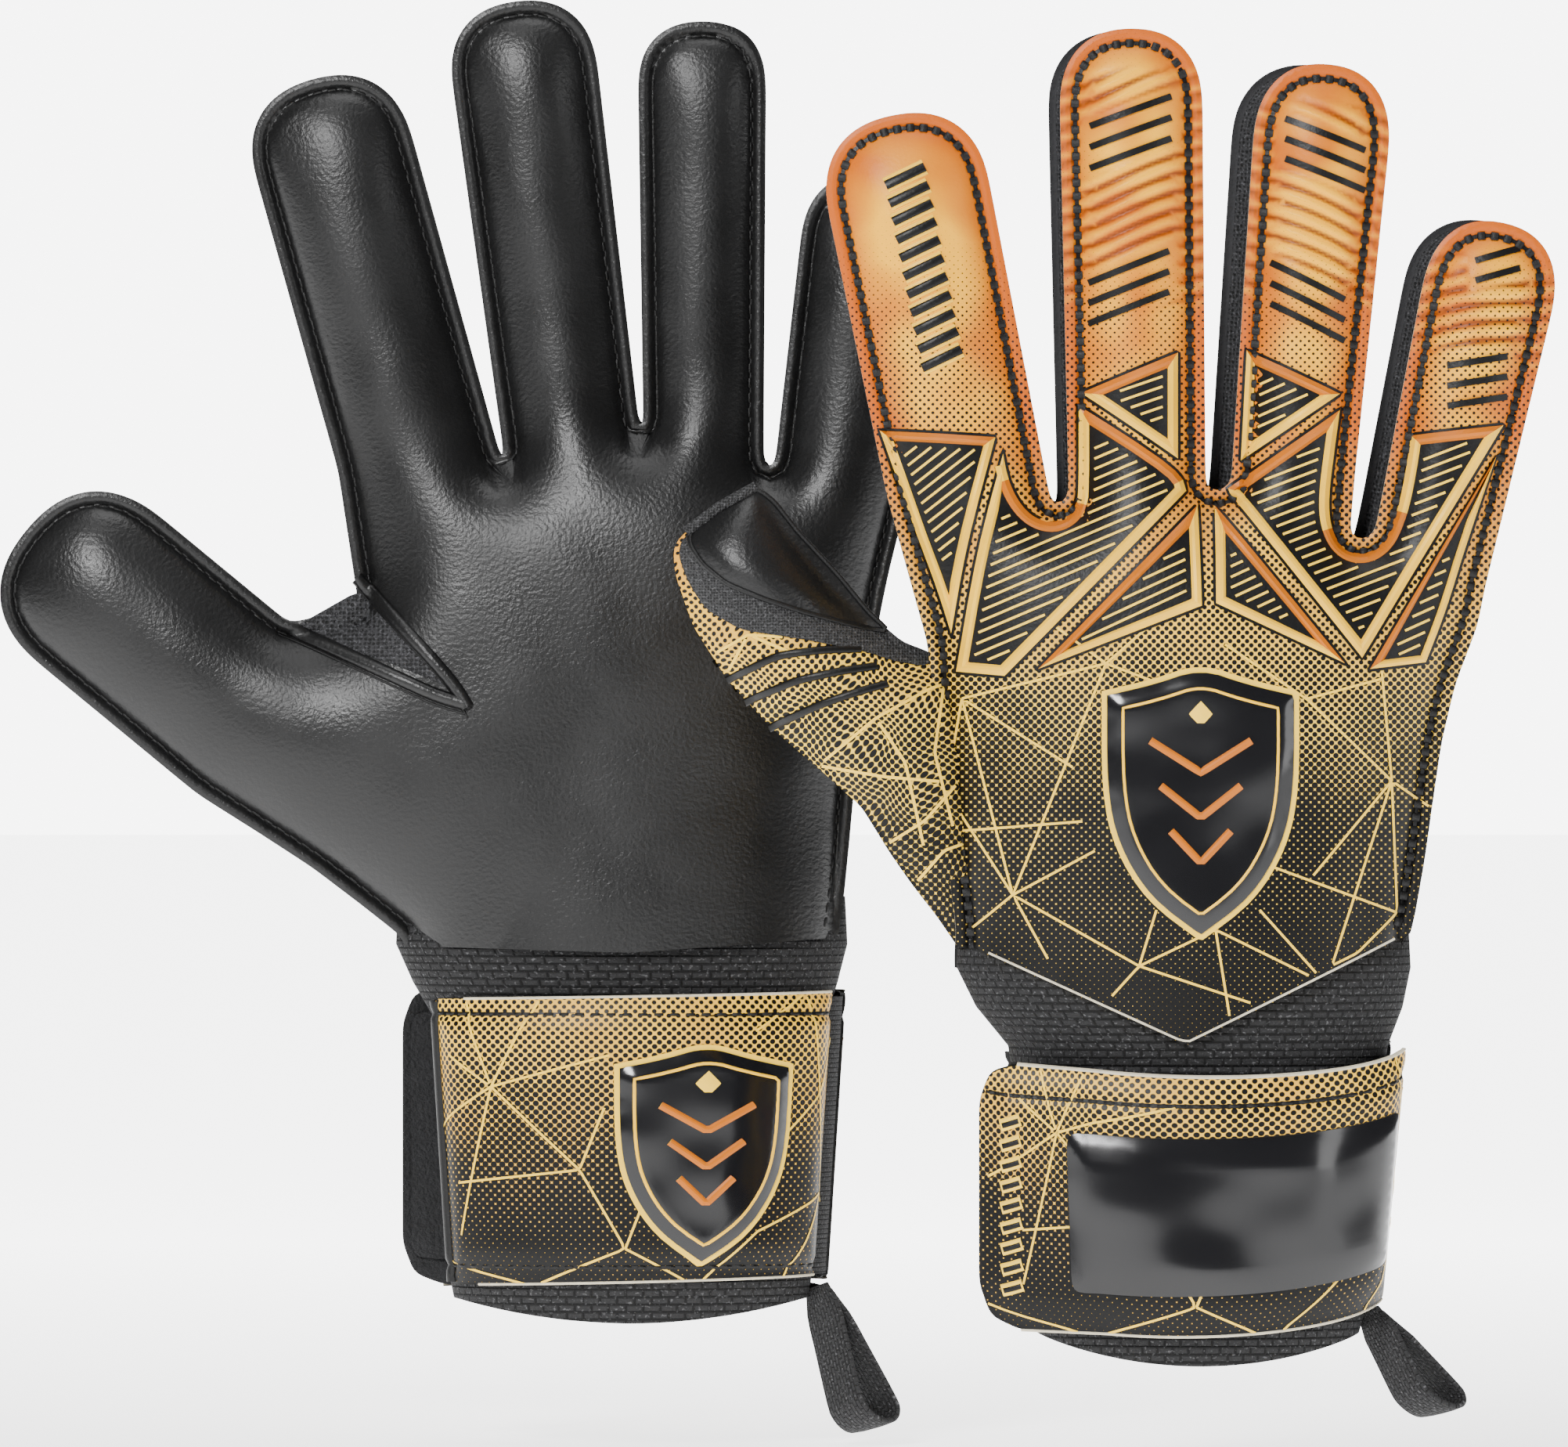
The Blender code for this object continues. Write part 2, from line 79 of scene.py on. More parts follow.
# Sheets, in millimetres
EDGE = 5.2  # height of the sewn edge over the plan
SEAM = 3.0  # stitch line, in from the edge
FLANGE_ROLL = 0.45
GROOVE_DEPTH = 0.8
GROOVE_WIDTH = 0.75
PILLOW = 15.0  # height that a wide padded area swells to
PILLOW_REACH = 12.0  # how far in from the seam the swelling grows
OUTLINE_STEP = 1.25
GRID_STEP = 1.35
FINE_STEP = 0.85
FIELD_STEP = 0.8
RINGS = (0.8, 1.6, 2.3, 2.7, 3.0, 3.3, 3.8, 4.8, 6.0)
TIP_SQUARENESS = 2.35
TIP_ROUND = 0.5
CUT_RISE = 2.5  # from the higher crotch beside a finger to where its own skin starts
BLEND_START = 2.0
BLEND_LENGTH = 15.0
PALM_THICK = 2.0
BACK_THICK = 1.8
RIDGE_PITCH = 3.7
RIDGE_HEIGHT = 0.7
RELIEF_FROM = 196.0
SLACK = 0.3  # how far a loose sheet waves in and out
LOOP_SEAM = (-3.0, 6.0)  # from a pull loop's hinge to its sewn ends, outward and up
LOOP_BEND = (7.0, 15.0)  # a pull loop's seam holds it to the first and it is free past the second; the places are worked out but nothing bends there
LOOP_ROUND = 5.2  # the fold at a pull loop's end
LOOP_LEAN = 48  # degrees that a pull loop is turned by
LOOP_PINCH = (0.6, 6.0)  # how narrow a pull loop starts, and how far down it is full
GUSSET_INSET = 0.9
GUSSET_HOLLOW = 1.5
THUMB_SWELL = 17.0
THUMB_REACH = 9.0

# Wrist
KNIT_DEPTH = 18.0
CUFF_DEPTH = 20.0
LAP_GAP = 2.6
STRAP_DIP_FRONT = 0.45  # the part of the dip that the middle depth of the strap takes
STRAP_DIPS = {"left": 0.0, "right": 6.0}  # how far the middle of the strap hangs below its ends
STRAP_THICK = 2.8

# Light: where the room and the floor turn bright, as parts of them, and how bright before and after
ROOM_EDGE = (0.985, 0.995)
ROOM_LEVEL = (0.16, 7.0)
FLOOR_EDGE = (0.488, 0.52)
FLOOR_LEVEL = (0.6, 5.5)
FLOOR_HALF = 30  # metres
FLOOR_GAP = 0.002

# Where neighbouring digits part, as heights over the mean of their two knuckles
CROTCH_RISE = {"left": (-27.0, -3.5, 1.3, -5.3), "right": (-21.0, -6.7, -5.0, -9.8)}
# The back panel's V-shaped hem, and the strap's lowest and highest edge
BACK_HEM = {"left": ((-45.0, 88.0), (-1.0, 74.0), (43.0, 88.0)),
            "right": ((-46.0, 84.0), (-3.0, 64.5), (41.0, 86.0))}
FLAP_END = {"left": (-48.5, -12.5), "right": (-45.0, -11.5)}


# ---------------------------------------------------------------------------------- frame


class Glove:
    """One glove's place in the frame, its digits and its wrist."""

    def __init__(self, side):
        mounts = {m["name"]: m for m in frame["record"]["mounts"]}
        self.side = side
        self.origin = np.array(mounts[f"{side}_wrist_opening"]["pos_m"])
        self.palm = round(mounts[f"{side}_palm_face"]["axis"][1])
        self.hand = f"{side}_hand"
        self.digits = [Digit(self, name) for name in DIGIT_NAMES]
        self.hem = np.array(BACK_HEM[side])
        self.flap_end = FLAP_END[side]
        cuff = self.local([v.co for v in frame["nodes"][f"{side}_elastic_cuff"].data.vertices])
        top = cuff[:, 1].max()
        self.widths = [np.abs(cuff[np.abs(cuff[:, 1] - z) < 1][:, 0]).max() for z in (0.0, top)]
        self.cuff_top = top
        strap = self.local([v.co for v in frame["nodes"][f"{side}_strap_base"].data.vertices])
        self.strap = (strap[:, 1].min(), strap[:, 1].max())
        self.wrap_mid = sum(self.strap) / 2
        self.strap_dip = STRAP_DIPS[side]

    def cuff_half(self, z):
        """Half the cuff's width at a height."""
        return self.widths[0] + (self.widths[1] - self.widths[0]) * np.asarray(z) / self.cuff_top

    def local(self, places):
        """Places in metres in the row frame, as (x, z, palmward) in millimetres."""
        away = (np.asarray(places, float).reshape(-1, 3) - self.origin) / MM
        return np.stack([away[:, 0], away[:, 2], away[:, 1] * self.palm], axis=1)

    def world(self, x, z, p):
        """Places in metres of local places; p is towards the palm."""
        x, z, p = np.broadcast_arrays(np.asarray(x, float), z, p)
        out = np.stack([x, p * self.palm, z], axis=-1) * MM
        return out + self.origin


class Digit:
    """A finger or thumb in its glove's plan, measured from its joint and its CAD gusset."""

    def __init__(self, glove, name):
        body = f"{glove.side}_{name}"
        joint = next(j for j in frame["joints"] if j["child"] == body)
        axis = Vector(joint["axis"]).normalized()
        gusset = [v.co for v in frame["nodes"][f"{body}_gusset"].data.vertices]
        away = np.array([list(co - Vector(joint["pos_m"])) for co in gusset])
        mean = Vector(away.mean(0))
        forward = (mean - axis * mean.dot(axis)).normalized()
        reach = away @ np.array(forward) / MM
        sideways = np.abs(away @ np.array(axis)) / MM
        self.name = name
        self.body = body
        self.pos = glove.local(joint["pos_m"])[0][:2]
        self.forward = np.array([forward.x, forward.z])
        self.side = np.array([self.forward[1], -self.forward[0]])
        self.length = reach.max() + 1.2
        self.base_half = sideways[reach < reach.min() + 2].max() + 1.2
        self.tip_half = sideways[reach > reach.max() * 0.6].max() + 1.2
        self.rolled = abs(axis.y) > 0.5

    def plan(self, a, b):
        """Plan place a along the digit from its knuckle and b to its side."""
        a, b = np.broadcast_arrays(np.asarray(a, float), b)
        return self.pos + a[..., None] * self.forward + b[..., None] * self.side

    def coords(self, xz):
        """(a, b) of plan places."""
        away = np.asarray(xz, float) - self.pos
        return away @ self.forward, away @ self.side

    def half(self, a):
        """Half the width at a."""
        t = np.clip(a / self.length, 0, 1)
        return self.base_half + (self.tip_half - self.base_half) * t


# ---------------------------------------------------------------------------------- plan work


def resample(line, step, closed=False):
    """A line's points, spaced evenly at about a step."""
    line = np.asarray(line, float)
    if closed:
        line = np.vstack([line, line[:1]])
    total = np.concatenate([[0], np.cumsum(np.hypot(*np.diff(line[:, :2], axis=0).T))])
    at = np.linspace(0, total[-1], max(2, round(total[-1] / step) + 1))
    out = np.stack([np.interp(at, total, line[:, k]) for k in range(line.shape[1])], axis=1)
    return out[:-1] if closed else out


def smoothed(line, rounds):
    """A line with its inner points drawn towards their neighbours."""
    line = np.array(line, float)
    for _ in range(rounds):
        line[1:-1] = 0.25 * line[:-2] + 0.5 * line[1:-1] + 0.25 * line[2:]
    return line


def rounded_loop(loop, rounds, step):
    """A closed loop, resampled and with its corners rounded."""
    loop = resample(loop, step, True)
    for _ in range(rounds):
        loop = 0.25 * np.roll(loop, 1, 0) + 0.5 * loop + 0.25 * np.roll(loop, -1, 0)
    return loop


def clockwise(loop):
    """A closed loop turned so that its inside is on the right."""
    loop = np.asarray(loop, float)
    after = np.roll(loop, -1, 0)
    return loop if (loop[:, 0] * after[:, 1] - after[:, 0] * loop[:, 1]).sum() < 0 else loop[::-1]


def normals_of(line, closed=False):
    """Unit normals to the right of a line's direction."""
    if closed:
        run = np.roll(line, -1, 0) - np.roll(line, 1, 0)
    else:
        run = np.gradient(line, axis=0)
    run = run / np.maximum(np.hypot(*run.T), 1e-9)[:, None]
    return np.stack([run[:, 1], -run[:, 0]], axis=1)


def inside(points, loop):
    """Which points lie inside a closed loop."""
    x, z = points[:, 0], points[:, 1]
    flags = np.zeros(len(points), bool)
    for (xa, za), (xb, zb) in zip(loop, np.roll(loop, -1, 0)):
        if za != zb:
            crosses = (za > z) != (zb > z)
            flags ^= crosses & (x < (xb - xa) * (z - za) / (zb - za) + xa)
    return flags


class Near:
    """The distance from points to a line."""

    def __init__(self, line, closed=False):
        dense = resample(line, 0.4, closed)
        self.tree = KDTree(len(dense))
        for k, (x, z) in enumerate(dense):
            self.tree.insert((x, z, 0.0), k)
        self.tree.balance()

    def __call__(self, points):
        return np.array([self.tree.find((x, z, 0.0))[2] for x, z in points])


def thinned(points, step):
    """Points of a broken line without those that crowd the last kept."""
    kept = []
    for point in points:
        if not kept or np.hypot(*(point - kept[-1])) > step * 0.8:
            kept.append(point)
    return kept


def rings_inside(line, near, rings, step, closed=False):
    """Rows of points at set distances inside a line."""
    found = []
    inward = normals_of(line, closed)
    for ring in rings:
        moved = line + inward * ring
        found += thinned(moved[near(moved) > ring - 0.12], step)
    return found


def grid_inside(loop, step):
    """A triangular grid of points inside a loop."""
    lo, hi = loop.min(0), loop.max(0)
    gx, gz = np.meshgrid(np.arange(lo[0], hi[0], step), np.arange(lo[1], hi[1], step * 0.866))
    gx = gx + (np.arange(len(gx)) % 2)[:, None] * step / 2
    grid = np.stack([gx.ravel(), gz.ravel()], axis=1)
    return grid[inside(grid, loop)]


def triangulate(loop, extra):
    """Triangles of a loop's inside through extra points."""
    points = np.vstack([loop, extra]) if len(extra) else np.asarray(loop)
    made = delaunay_2d_cdt([Vector(q) for q in points], [], [list(range(len(loop)))], 1, 1e-4)
    points = np.array([list(v) for v in made[0]])
    faces = np.array([f for f in made[2] if len(f) == 3])
    a, b, c = (points[faces[:, k]] for k in range(3))
    area = (b[:, 0] - a[:, 0]) * (c[:, 1] - a[:, 1]) - (c[:, 0] - a[:, 0]) * (b[:, 1] - a[:, 1])
    faces[area < 0] = faces[area < 0][:, ::-1]
    return points, faces[np.abs(area) > 1e-6]


def inset_polygon(loop, width):
    """A clockwise polygon drawn in by a width, with mitred corners."""
    after = np.roll(loop, -1, 0) - loop
    after = after / np.maximum(np.hypot(*after.T), 1e-9)[:, None]
    right = np.stack([after[:, 1], -after[:, 0]], axis=1)
    before = np.roll(right, 1, 0)
    share = np.maximum(1 + (right * before).sum(1), 0.12)
    return loop + (right + before) / share[:, None] * width


# ---------------------------------------------------------------------------------- outlines


def digit_outline(digit, low_left, low_right, inset_left, inset_right):
    """Plan points up a digit's left side, round its tip and down its right side."""
    shoulder = digit.length - 2 * TIP_ROUND * digit.tip_half
    up = np.linspace(low_left, shoulder, 12, endpoint=False)
    down = np.linspace(low_right, shoulder, 12, endpoint=False)[::-1]
    turn = np.linspace(0, np.pi, 25)
    rise = np.sin(turn) ** (2 / TIP_SQUARENESS)
    swing = -np.sign(np.cos(turn)) * np.abs(np.cos(turn)) ** (2 / TIP_SQUARENESS)
    middle = (inset_left - inset_right) / 2
    half = digit.half(shoulder) - (inset_left + inset_right) / 2
    tip_a = shoulder + (digit.length - shoulder) * rise
    left = digit.plan(up, inset_left - digit.half(up))
    tip = digit.plan(tip_a, middle + half * swing)
    right = digit.plan(down, digit.half(down) - inset_right)
    return np.vstack([left, tip, right])


def crotch_between(glove, k):
    """The place where digit k parts from the next one."""
    here, there = glove.digits[k], glove.digits[k + 1]
    z = (here.pos[1] + there.pos[1]) / 2 + CROTCH_RISE[glove.side][k]
    right = here.plan(z - here.pos[1], here.base_half)
    left = there.plan(z - there.pos[1], -there.base_half)
    return np.array([(right[0] + left[0]) / 2, z])


def node_edge(node, glove, z):
    """The lowest and highest x of a CAD node at a height, from its mesh's edges."""
    mesh = frame["nodes"][node].data
    places = glove.local([v.co for v in mesh.vertices])
    found = []
    for edge in mesh.edges:
        a, b = places[edge.vertices[0]], places[edge.vertices[1]]
        if (a[1] > z) != (b[1] > z):
            found.append(a[0] + (b[0] - a[0]) * (z - a[1]) / (b[1] - a[1]))
    return min(found), max(found)


def hand_outline(glove, insets):
    """The sewn outline: from the wrist's thumb side over all the digits to its other side.

    Insets draw it in at the sides of some digits, without changing how many points it has.
    """
    palm = f"{glove.side}_palm_latex"
    left, right = node_edge(palm, glove, 81.0)
    if glove.digits[0].rolled:
        points = [(left - 1.0, 55.0), (left - 1.5, 70.0), (left - 2.5, 81.0), (-49.5, 88.0), (-51.5, 103.0),
                  (-53.4, 118.0), (-54.6, 134.0), (-55.2, 146.0)]
    else:
        points = [(left + 3.0, 55.0), (left + 1.0, 70.0)]
        points += [(node_edge(palm, glove, z)[0], z) for z in (81.0, 88.0, 96.0, 103.0)]
        points += list(digit_outline(glove.digits[0], -6.0, 2.0, 0.0, 0.0))
        points.append((-57.2, 151.0))
    crotches = [crotch_between(glove, k) for k in range(1, 4)]
    for k, digit in enumerate(glove.digits[1:]):
        low_left = 0.0 if k == 0 else digit.coords(crotches[k - 1])[0] + 1.0
        low_right = 0.0 if k == 3 else digit.coords(crotches[k])[0] + 1.0
        points += list(digit_outline(digit, low_left, low_right, *insets.get(digit.name, (0.0, 0.0))))
        if k < 3:
            points.append(crotches[k])
    for z in (158.0, 150.0, 138.0, 126.0, 114.0, 102.0, 90.0, 81.0):
        points.append((node_edge(palm, glove, z)[1], z))
    points += [(right - 1.0, 70.0), (right - 2.0, 55.0)]
    return np.array(points)


def paired_resample(line, other, step):
    """Two lines of as many points, resampled alike by the first one's length."""
    both = np.hstack([line, other])
    out = smoothed(resample(both, step), 4)
    return out[:, :2], out[:, 2:]


class Field:
    """The swelling of a padded sheet over its plan: a screened Poisson solution on a grid."""

    def __init__(self, outline, seam, pillow, reach):
        self.low = outline.min(0) - 4
        high = outline.max(0) + 4
        xs, zs = (np.arange(self.low[k], high[k], FIELD_STEP) for k in (0, 1))
        gx, gz = np.meshgrid(xs, zs)
        cells = np.stack([gx.ravel(), gz.ravel()], axis=1)
        self.near = Near(outline)
        depth = self.near(cells)
        self.depth = np.where(inside(cells, outline), depth, -depth).reshape(gx.shape)
        share = np.clip((self.depth - seam) / FIELD_STEP + 0.5, 0, 1)
        k = (FIELD_STEP / reach) ** 2
        h = share * pillow * 0.5
        hold = 4 + k + 40 * (1 - share)
        odd = (np.add.outer(np.arange(len(zs)), np.arange(len(xs))) % 2).astype(bool)
        for _ in range(160):
            for colour in (odd, ~odd):
                near = np.zeros_like(h)
                near[1:-1, 1:-1] = h[:-2, 1:-1] + h[2:, 1:-1] + h[1:-1, :-2] + h[1:-1, 2:]
                new = (near + k * pillow * share) / hold
                h = np.where(colour, h + 1.82 * (new - h), h)
            h[0] = h[1]
        self.h = h

    def read(self, grid, x, z):
        """A grid's values at plan places, between its cells."""
        u = np.clip((np.asarray(x) - self.low[0]) / FIELD_STEP, 0, grid.shape[1] - 1.001)
        v = np.clip((np.asarray(z) - self.low[1]) / FIELD_STEP, 0, grid.shape[0] - 1.001)
        i, j = np.floor(u).astype(int), np.floor(v).astype(int)
        fu, fv = u - i, v - j
        top = grid[j, i] * (1 - fu) + grid[j, i + 1] * fu
        low = grid[j + 1, i] * (1 - fu) + grid[j + 1, i + 1] * fu
        return top * (1 - fv) + low * fv


# ---------------------------------------------------------------------------------- surfaces


class Surface:
    """Something that pieces are laid on: plan points in millimetres go to places in the frame."""

    def owners(self, points):
        return np.zeros(len(points), int)

    def name_of(self, owner, label):
        return f"{self.glove.side}_{label}"


class HandSheet(Surface):
    """One face of a hand, palm (face 1) or back (face -1), with the fingers that are flat in it."""

    def __init__(self, glove, face, outline, hem, relief=None):
        self.glove, self.face, self.outline, self.hem = glove, face, outline, np.array(hem)
        self.relief = relief
        self.field = Field(outline, SEAM, PILLOW, PILLOW_REACH)
        crotches = [crotch_between(glove, k) for k in range(1, 4)]
        self.cuts = {}
        for k, digit in enumerate(glove.digits[1:]):
            beside = [digit.coords(c)[0] for c in crotches[max(0, k - 1):k + 1]]
            self.cuts[digit.name] = max(beside) + CUT_RISE
        if not glove.digits[0].rolled:
            self.cuts["thumb"] = 2.0

    def height(self, x, z):
        """p of the sheet over its plan."""
        depth = self.field.read(self.field.depth, x, z)
        swell = self.field.read(self.field.h, x, z)
        roll = FLANGE_ROLL * np.sin(np.pi * np.clip(depth / (SEAM - 0.3), 0, 1))
        groove = GROOVE_DEPTH * np.exp(-(((depth - SEAM) / GROOVE_WIDTH) ** 2))
        slack = SLACK * np.sin(x / 6.5 + 1.4 * np.sin(z / 13)) * np.sin(z / 8.5 + 1.2
                                                                        * np.sin(x / 10 + self.face))
        p = EDGE + roll - groove + swell + slack * np.clip((depth - SEAM) / 5, 0, 1)
        part = np.clip(np.abs(x) / self.glove.cuff_half(z), 0, 1)
        knit = KNIT_DEPTH * np.sqrt(1 - part**2) + LAP_GAP
        near_wrist = np.clip((116 - z) / 30, 0, 1)
        near_wrist = near_wrist * near_wrist * (3 - 2 * near_wrist)
        p = p + near_wrist * np.maximum(knit - p, 0)
        if self.relief is not None:
            p = p + self.relief(self, x, z) * np.clip((depth - SEAM - 0.5) / 2, 0, 1)
        return p

    def place(self, points, lift):
        x, z = points[:, 0], points[:, 1]
        return self.glove.world(x, z, self.face * (self.height(x, z) + lift))

    def outward(self, points):
        return np.tile((0.0, self.glove.palm * self.face, 0.0), (len(points), 1))

    def owners(self, points):
        owner = np.zeros(len(points), int)
        for k, digit in enumerate(self.glove.digits):
            if digit.name in self.cuts:
                along, beside = digit.coords(points)
                wide = np.abs(beside) < digit.half(along) + 1.5
                owner[(along > self.cuts[digit.name]) & wide] = k + 1
        return owner

    def name_of(self, owner, label):
        part = self.glove.digits[owner - 1].name if owner else "hand"
        return f"{self.glove.side}_{part}_{label}"

    def attach(self, piece, owner):
        """Hang a piece on the hand, or bake a digit's piece where it stands."""
        if owner == 0:
            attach(piece, self.glove.hand)
            return
        digit = self.glove.digits[owner - 1]
        start, end = (digit.plan(self.cuts[digit.name] + a, 0.0)
                      for a in (BLEND_START, BLEND_START + BLEND_LENGTH))
        self.glove.world(*start, 0.0)
        self.glove.world(*end, 0.0)
        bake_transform(piece)

    def shape(self):
        """The sheet's plan points and triangles, its edge sewn and its hem cut."""
        low = np.interp(self.outline[:, 0], *self.hem.T)
        keep = self.outline[:, 1] > low
        sewn = self.outline[np.argmax(keep):len(keep) - np.argmax(keep[::-1])]
        count = round(abs(sewn[0][0] - sewn[-1][0]) / OUTLINE_STEP)
        hem_x = np.linspace(sewn[-1][0], sewn[0][0], count + 2)[1:-1]
        hem = np.stack([hem_x, np.interp(hem_x, *self.hem.T)], axis=1)
        loop = np.vstack([sewn, hem])
        extra = rings_inside(sewn, self.field.near, RINGS, OUTLINE_STEP)
        for rise in (0.7, 1.4, 2.2):
            extra += list(hem + np.array([0, rise]))
        grid = grid_inside(loop, GRID_STEP)
        if self.relief is not None:
            fine = grid_inside(loop, FINE_STEP)
            in_relief = fine[:, 1] > RELIEF_FROM
            grid = np.vstack([grid[grid[:, 1] <= RELIEF_FROM], fine[in_relief]])
        deep = self.field.read(self.field.depth, *grid.T) > RINGS[-1] + 0.7
        over = grid[:, 1] - np.interp(grid[:, 0], *self.hem.T)
        extra = np.array(extra)
        extra = extra[inside(extra, loop)]
        return triangulate(loop, np.vstack([extra, grid[deep & (over > 2.9)]]))


class Wrap(Surface):
    """A band round a glove's wrist: u round it in millimetres, growing with x, and z up it."""

    def __init__(self, glove, places, outset, body, end=None):
        self.glove, self.outset, self.body = glove, outset, body
        angles = np.linspace(*places, 120)
        self.places = angles
        flat = np.stack(self.ring(angles, glove.wrap_mid, 0.0), axis=1)
        if end is not None:
            straight = flat[-1] + np.linspace(0, 1, 30)[1:, None] * (np.array(end) - flat[-1])
            flat = np.vstack([flat, straight])
        self.end = end
        self.curve = len(angles)
        total = np.concatenate([[0], np.cumsum(np.hypot(*np.diff(flat, axis=0).T))])
        towards = np.sign(flat[self.curve // 2 + 5][0] - flat[self.curve // 2 - 5][0])
        middle = np.argmin(np.abs(flat[:self.curve, 0]))
        self.u = (total - total[middle]) * towards
        self.steps = np.arange(len(flat), dtype=float)
        self.span = (self.u.min(), self.u.max())

    def ring(self, angles, z, out):
        turn = np.radians(angles)
        half = self.glove.cuff_half(z)
        return (half + out) * np.cos(turn), (CUFF_DEPTH + out) * np.sin(turn)

    def section(self, points, out):
        """x and p of plan points, some way out from the cuff."""
        order = np.argsort(self.u)
        step = np.interp(points[:, 0], self.u[order], self.steps[order])
        angle = np.interp(np.minimum(step, self.curve - 1), np.arange(self.curve), self.places)
        x, p = self.ring(angle, points[:, 1], out)
        if self.end is not None:
            share = np.clip((step - self.curve + 1) / 29, 0, 1)
            x = x + share * (self.end[0] - x)
            p = p + share * (self.end[1] + np.sign(self.end[1]) * out - p)
        return x, p

    def place(self, points, lift):
        x, p = self.section(points, self.outset + np.asarray(lift))
        dip = self.glove.strap_dip * (STRAP_DIP_FRONT + np.minimum(p, 0) / CUFF_DEPTH)
        return self.glove.world(x, points[:, 1] + dip, p)

    def outward(self, points):
        return self.place(points, 1.0) - self.place(points, 0.0)

    def attach(self, piece, owner):
        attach(piece, self.body)


class Thumb(Surface):
    """One face of the rolled thumb and the side of the hand that it grows from."""

    def __init__(self, glove, face, outline):
        self.glove, self.face, self.outline = glove, face, outline
        self.field = Field(np.vstack([outline, outline[:1]]), 0.4, THUMB_SWELL, THUMB_REACH)
        self.digit = glove.digits[0]

    def height(self, x, z):
        swell = self.field.read(self.field.h, x, z)
        depth = np.maximum(self.field.read(self.field.depth, x, z), 0)
        ripple = np.sin((x * 0.35 + z * 0.9) / 1.6 + 0.8 * np.sin(x / 6)) * 0.4
        low = np.clip((128 - z) / 20, 0, 1) * np.clip(depth / 5, 0, 1)
        return 0.9 + swell + ripple * low

    def place(self, points, lift):
        x, z = points[:, 0], points[:, 1]
        return self.glove.world(x, z, self.face * (self.height(x, z) + lift))

    def outward(self, points):
        return np.tile((0.0, self.glove.palm * self.face, 0.0), (len(points), 1))

    def attach(self, piece, owner):
        digit = self.digit
        start, end = (digit.plan(a, 0.0) for a in (-4.0, 14.0))
        self.glove.world(*start, 0.0)
        self.glove.world(*end, 0.0)
        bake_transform(piece)


# ---------------------------------------------------------------------------------- meshes


def add_uv(mesh, name, places):
    """A UV map of plan places, a tenth of a metre to a unit."""
    corner = np.empty(len(mesh.loops), np.int32)
    mesh.loops.foreach_get("vertex_index", corner)
    mesh.uv_layers.new(name=name).data.foreach_set("uv", (places[corner] / 100).astype(np.float32).ravel())


def add_mesh(name, verts, faces, materials, indices=None, uv=None, smooth=True, normals=None, edge=None):
    """An object of places in metres.

    edge holds each vertex's depth in its panel and its place from trough to crest.
    """
    mesh = bpy.data.meshes.new(name)
    mesh.from_pydata(np.asarray(verts).tolist(), [], faces if isinstance(faces, list) else faces.tolist())
    for material in materials:
        mesh.materials.append(material)
    if indices is not None:
        mesh.polygons.foreach_set("material_index", np.asarray(indices, np.int32))
    if uv is not None:
        add_uv(mesh, "plan", np.asarray(uv))
    if edge is not None:
        add_uv(mesh, "edge", edge)
    mesh.polygons.foreach_set("use_smooth", np.full(len(mesh.polygons), smooth))
    if normals is not None:
        mesh.normals_split_custom_set_from_vertices(np.asarray(normals).tolist())
    mesh.update()
    made = bpy.data.objects.new(name, mesh)
    bpy.context.scene.collection.objects.link(made)
    return made


def face_normals(verts, faces):
    a, b, c = verts[faces[:, 0]], verts[faces[:, 1]], verts[faces[:, 2]]
    return np.cross(b - a, c - a)


def vertex_normals(verts, faces):
    out = np.zeros_like(verts)
    normal = face_normals(verts, faces)
    for k in range(faces.shape[1]):
        np.add.at(out, faces[:, k], normal)
    return out / np.maximum(np.linalg.norm(out, axis=1), 1e-20)[:, None]


def turned_out(verts, faces, outward):
    """Faces turned to look the way that outward says, all together."""
    normal = face_normals(verts, faces)
    return faces if (normal * outward[faces[:, 0]]).sum() > 0 else faces[:, ::-1]


def border_of(faces):
    """Directed edges that only one triangle has."""
    edges = faces[:, [0, 1, 1, 2, 2, 0]].reshape(-1, 2)
    ordered = np.sort(edges, axis=1)
    _, inverse, counts = np.unique(ordered, axis=0, return_inverse=True, return_counts=True)
    return edges[counts[inverse.ravel()] == 1]


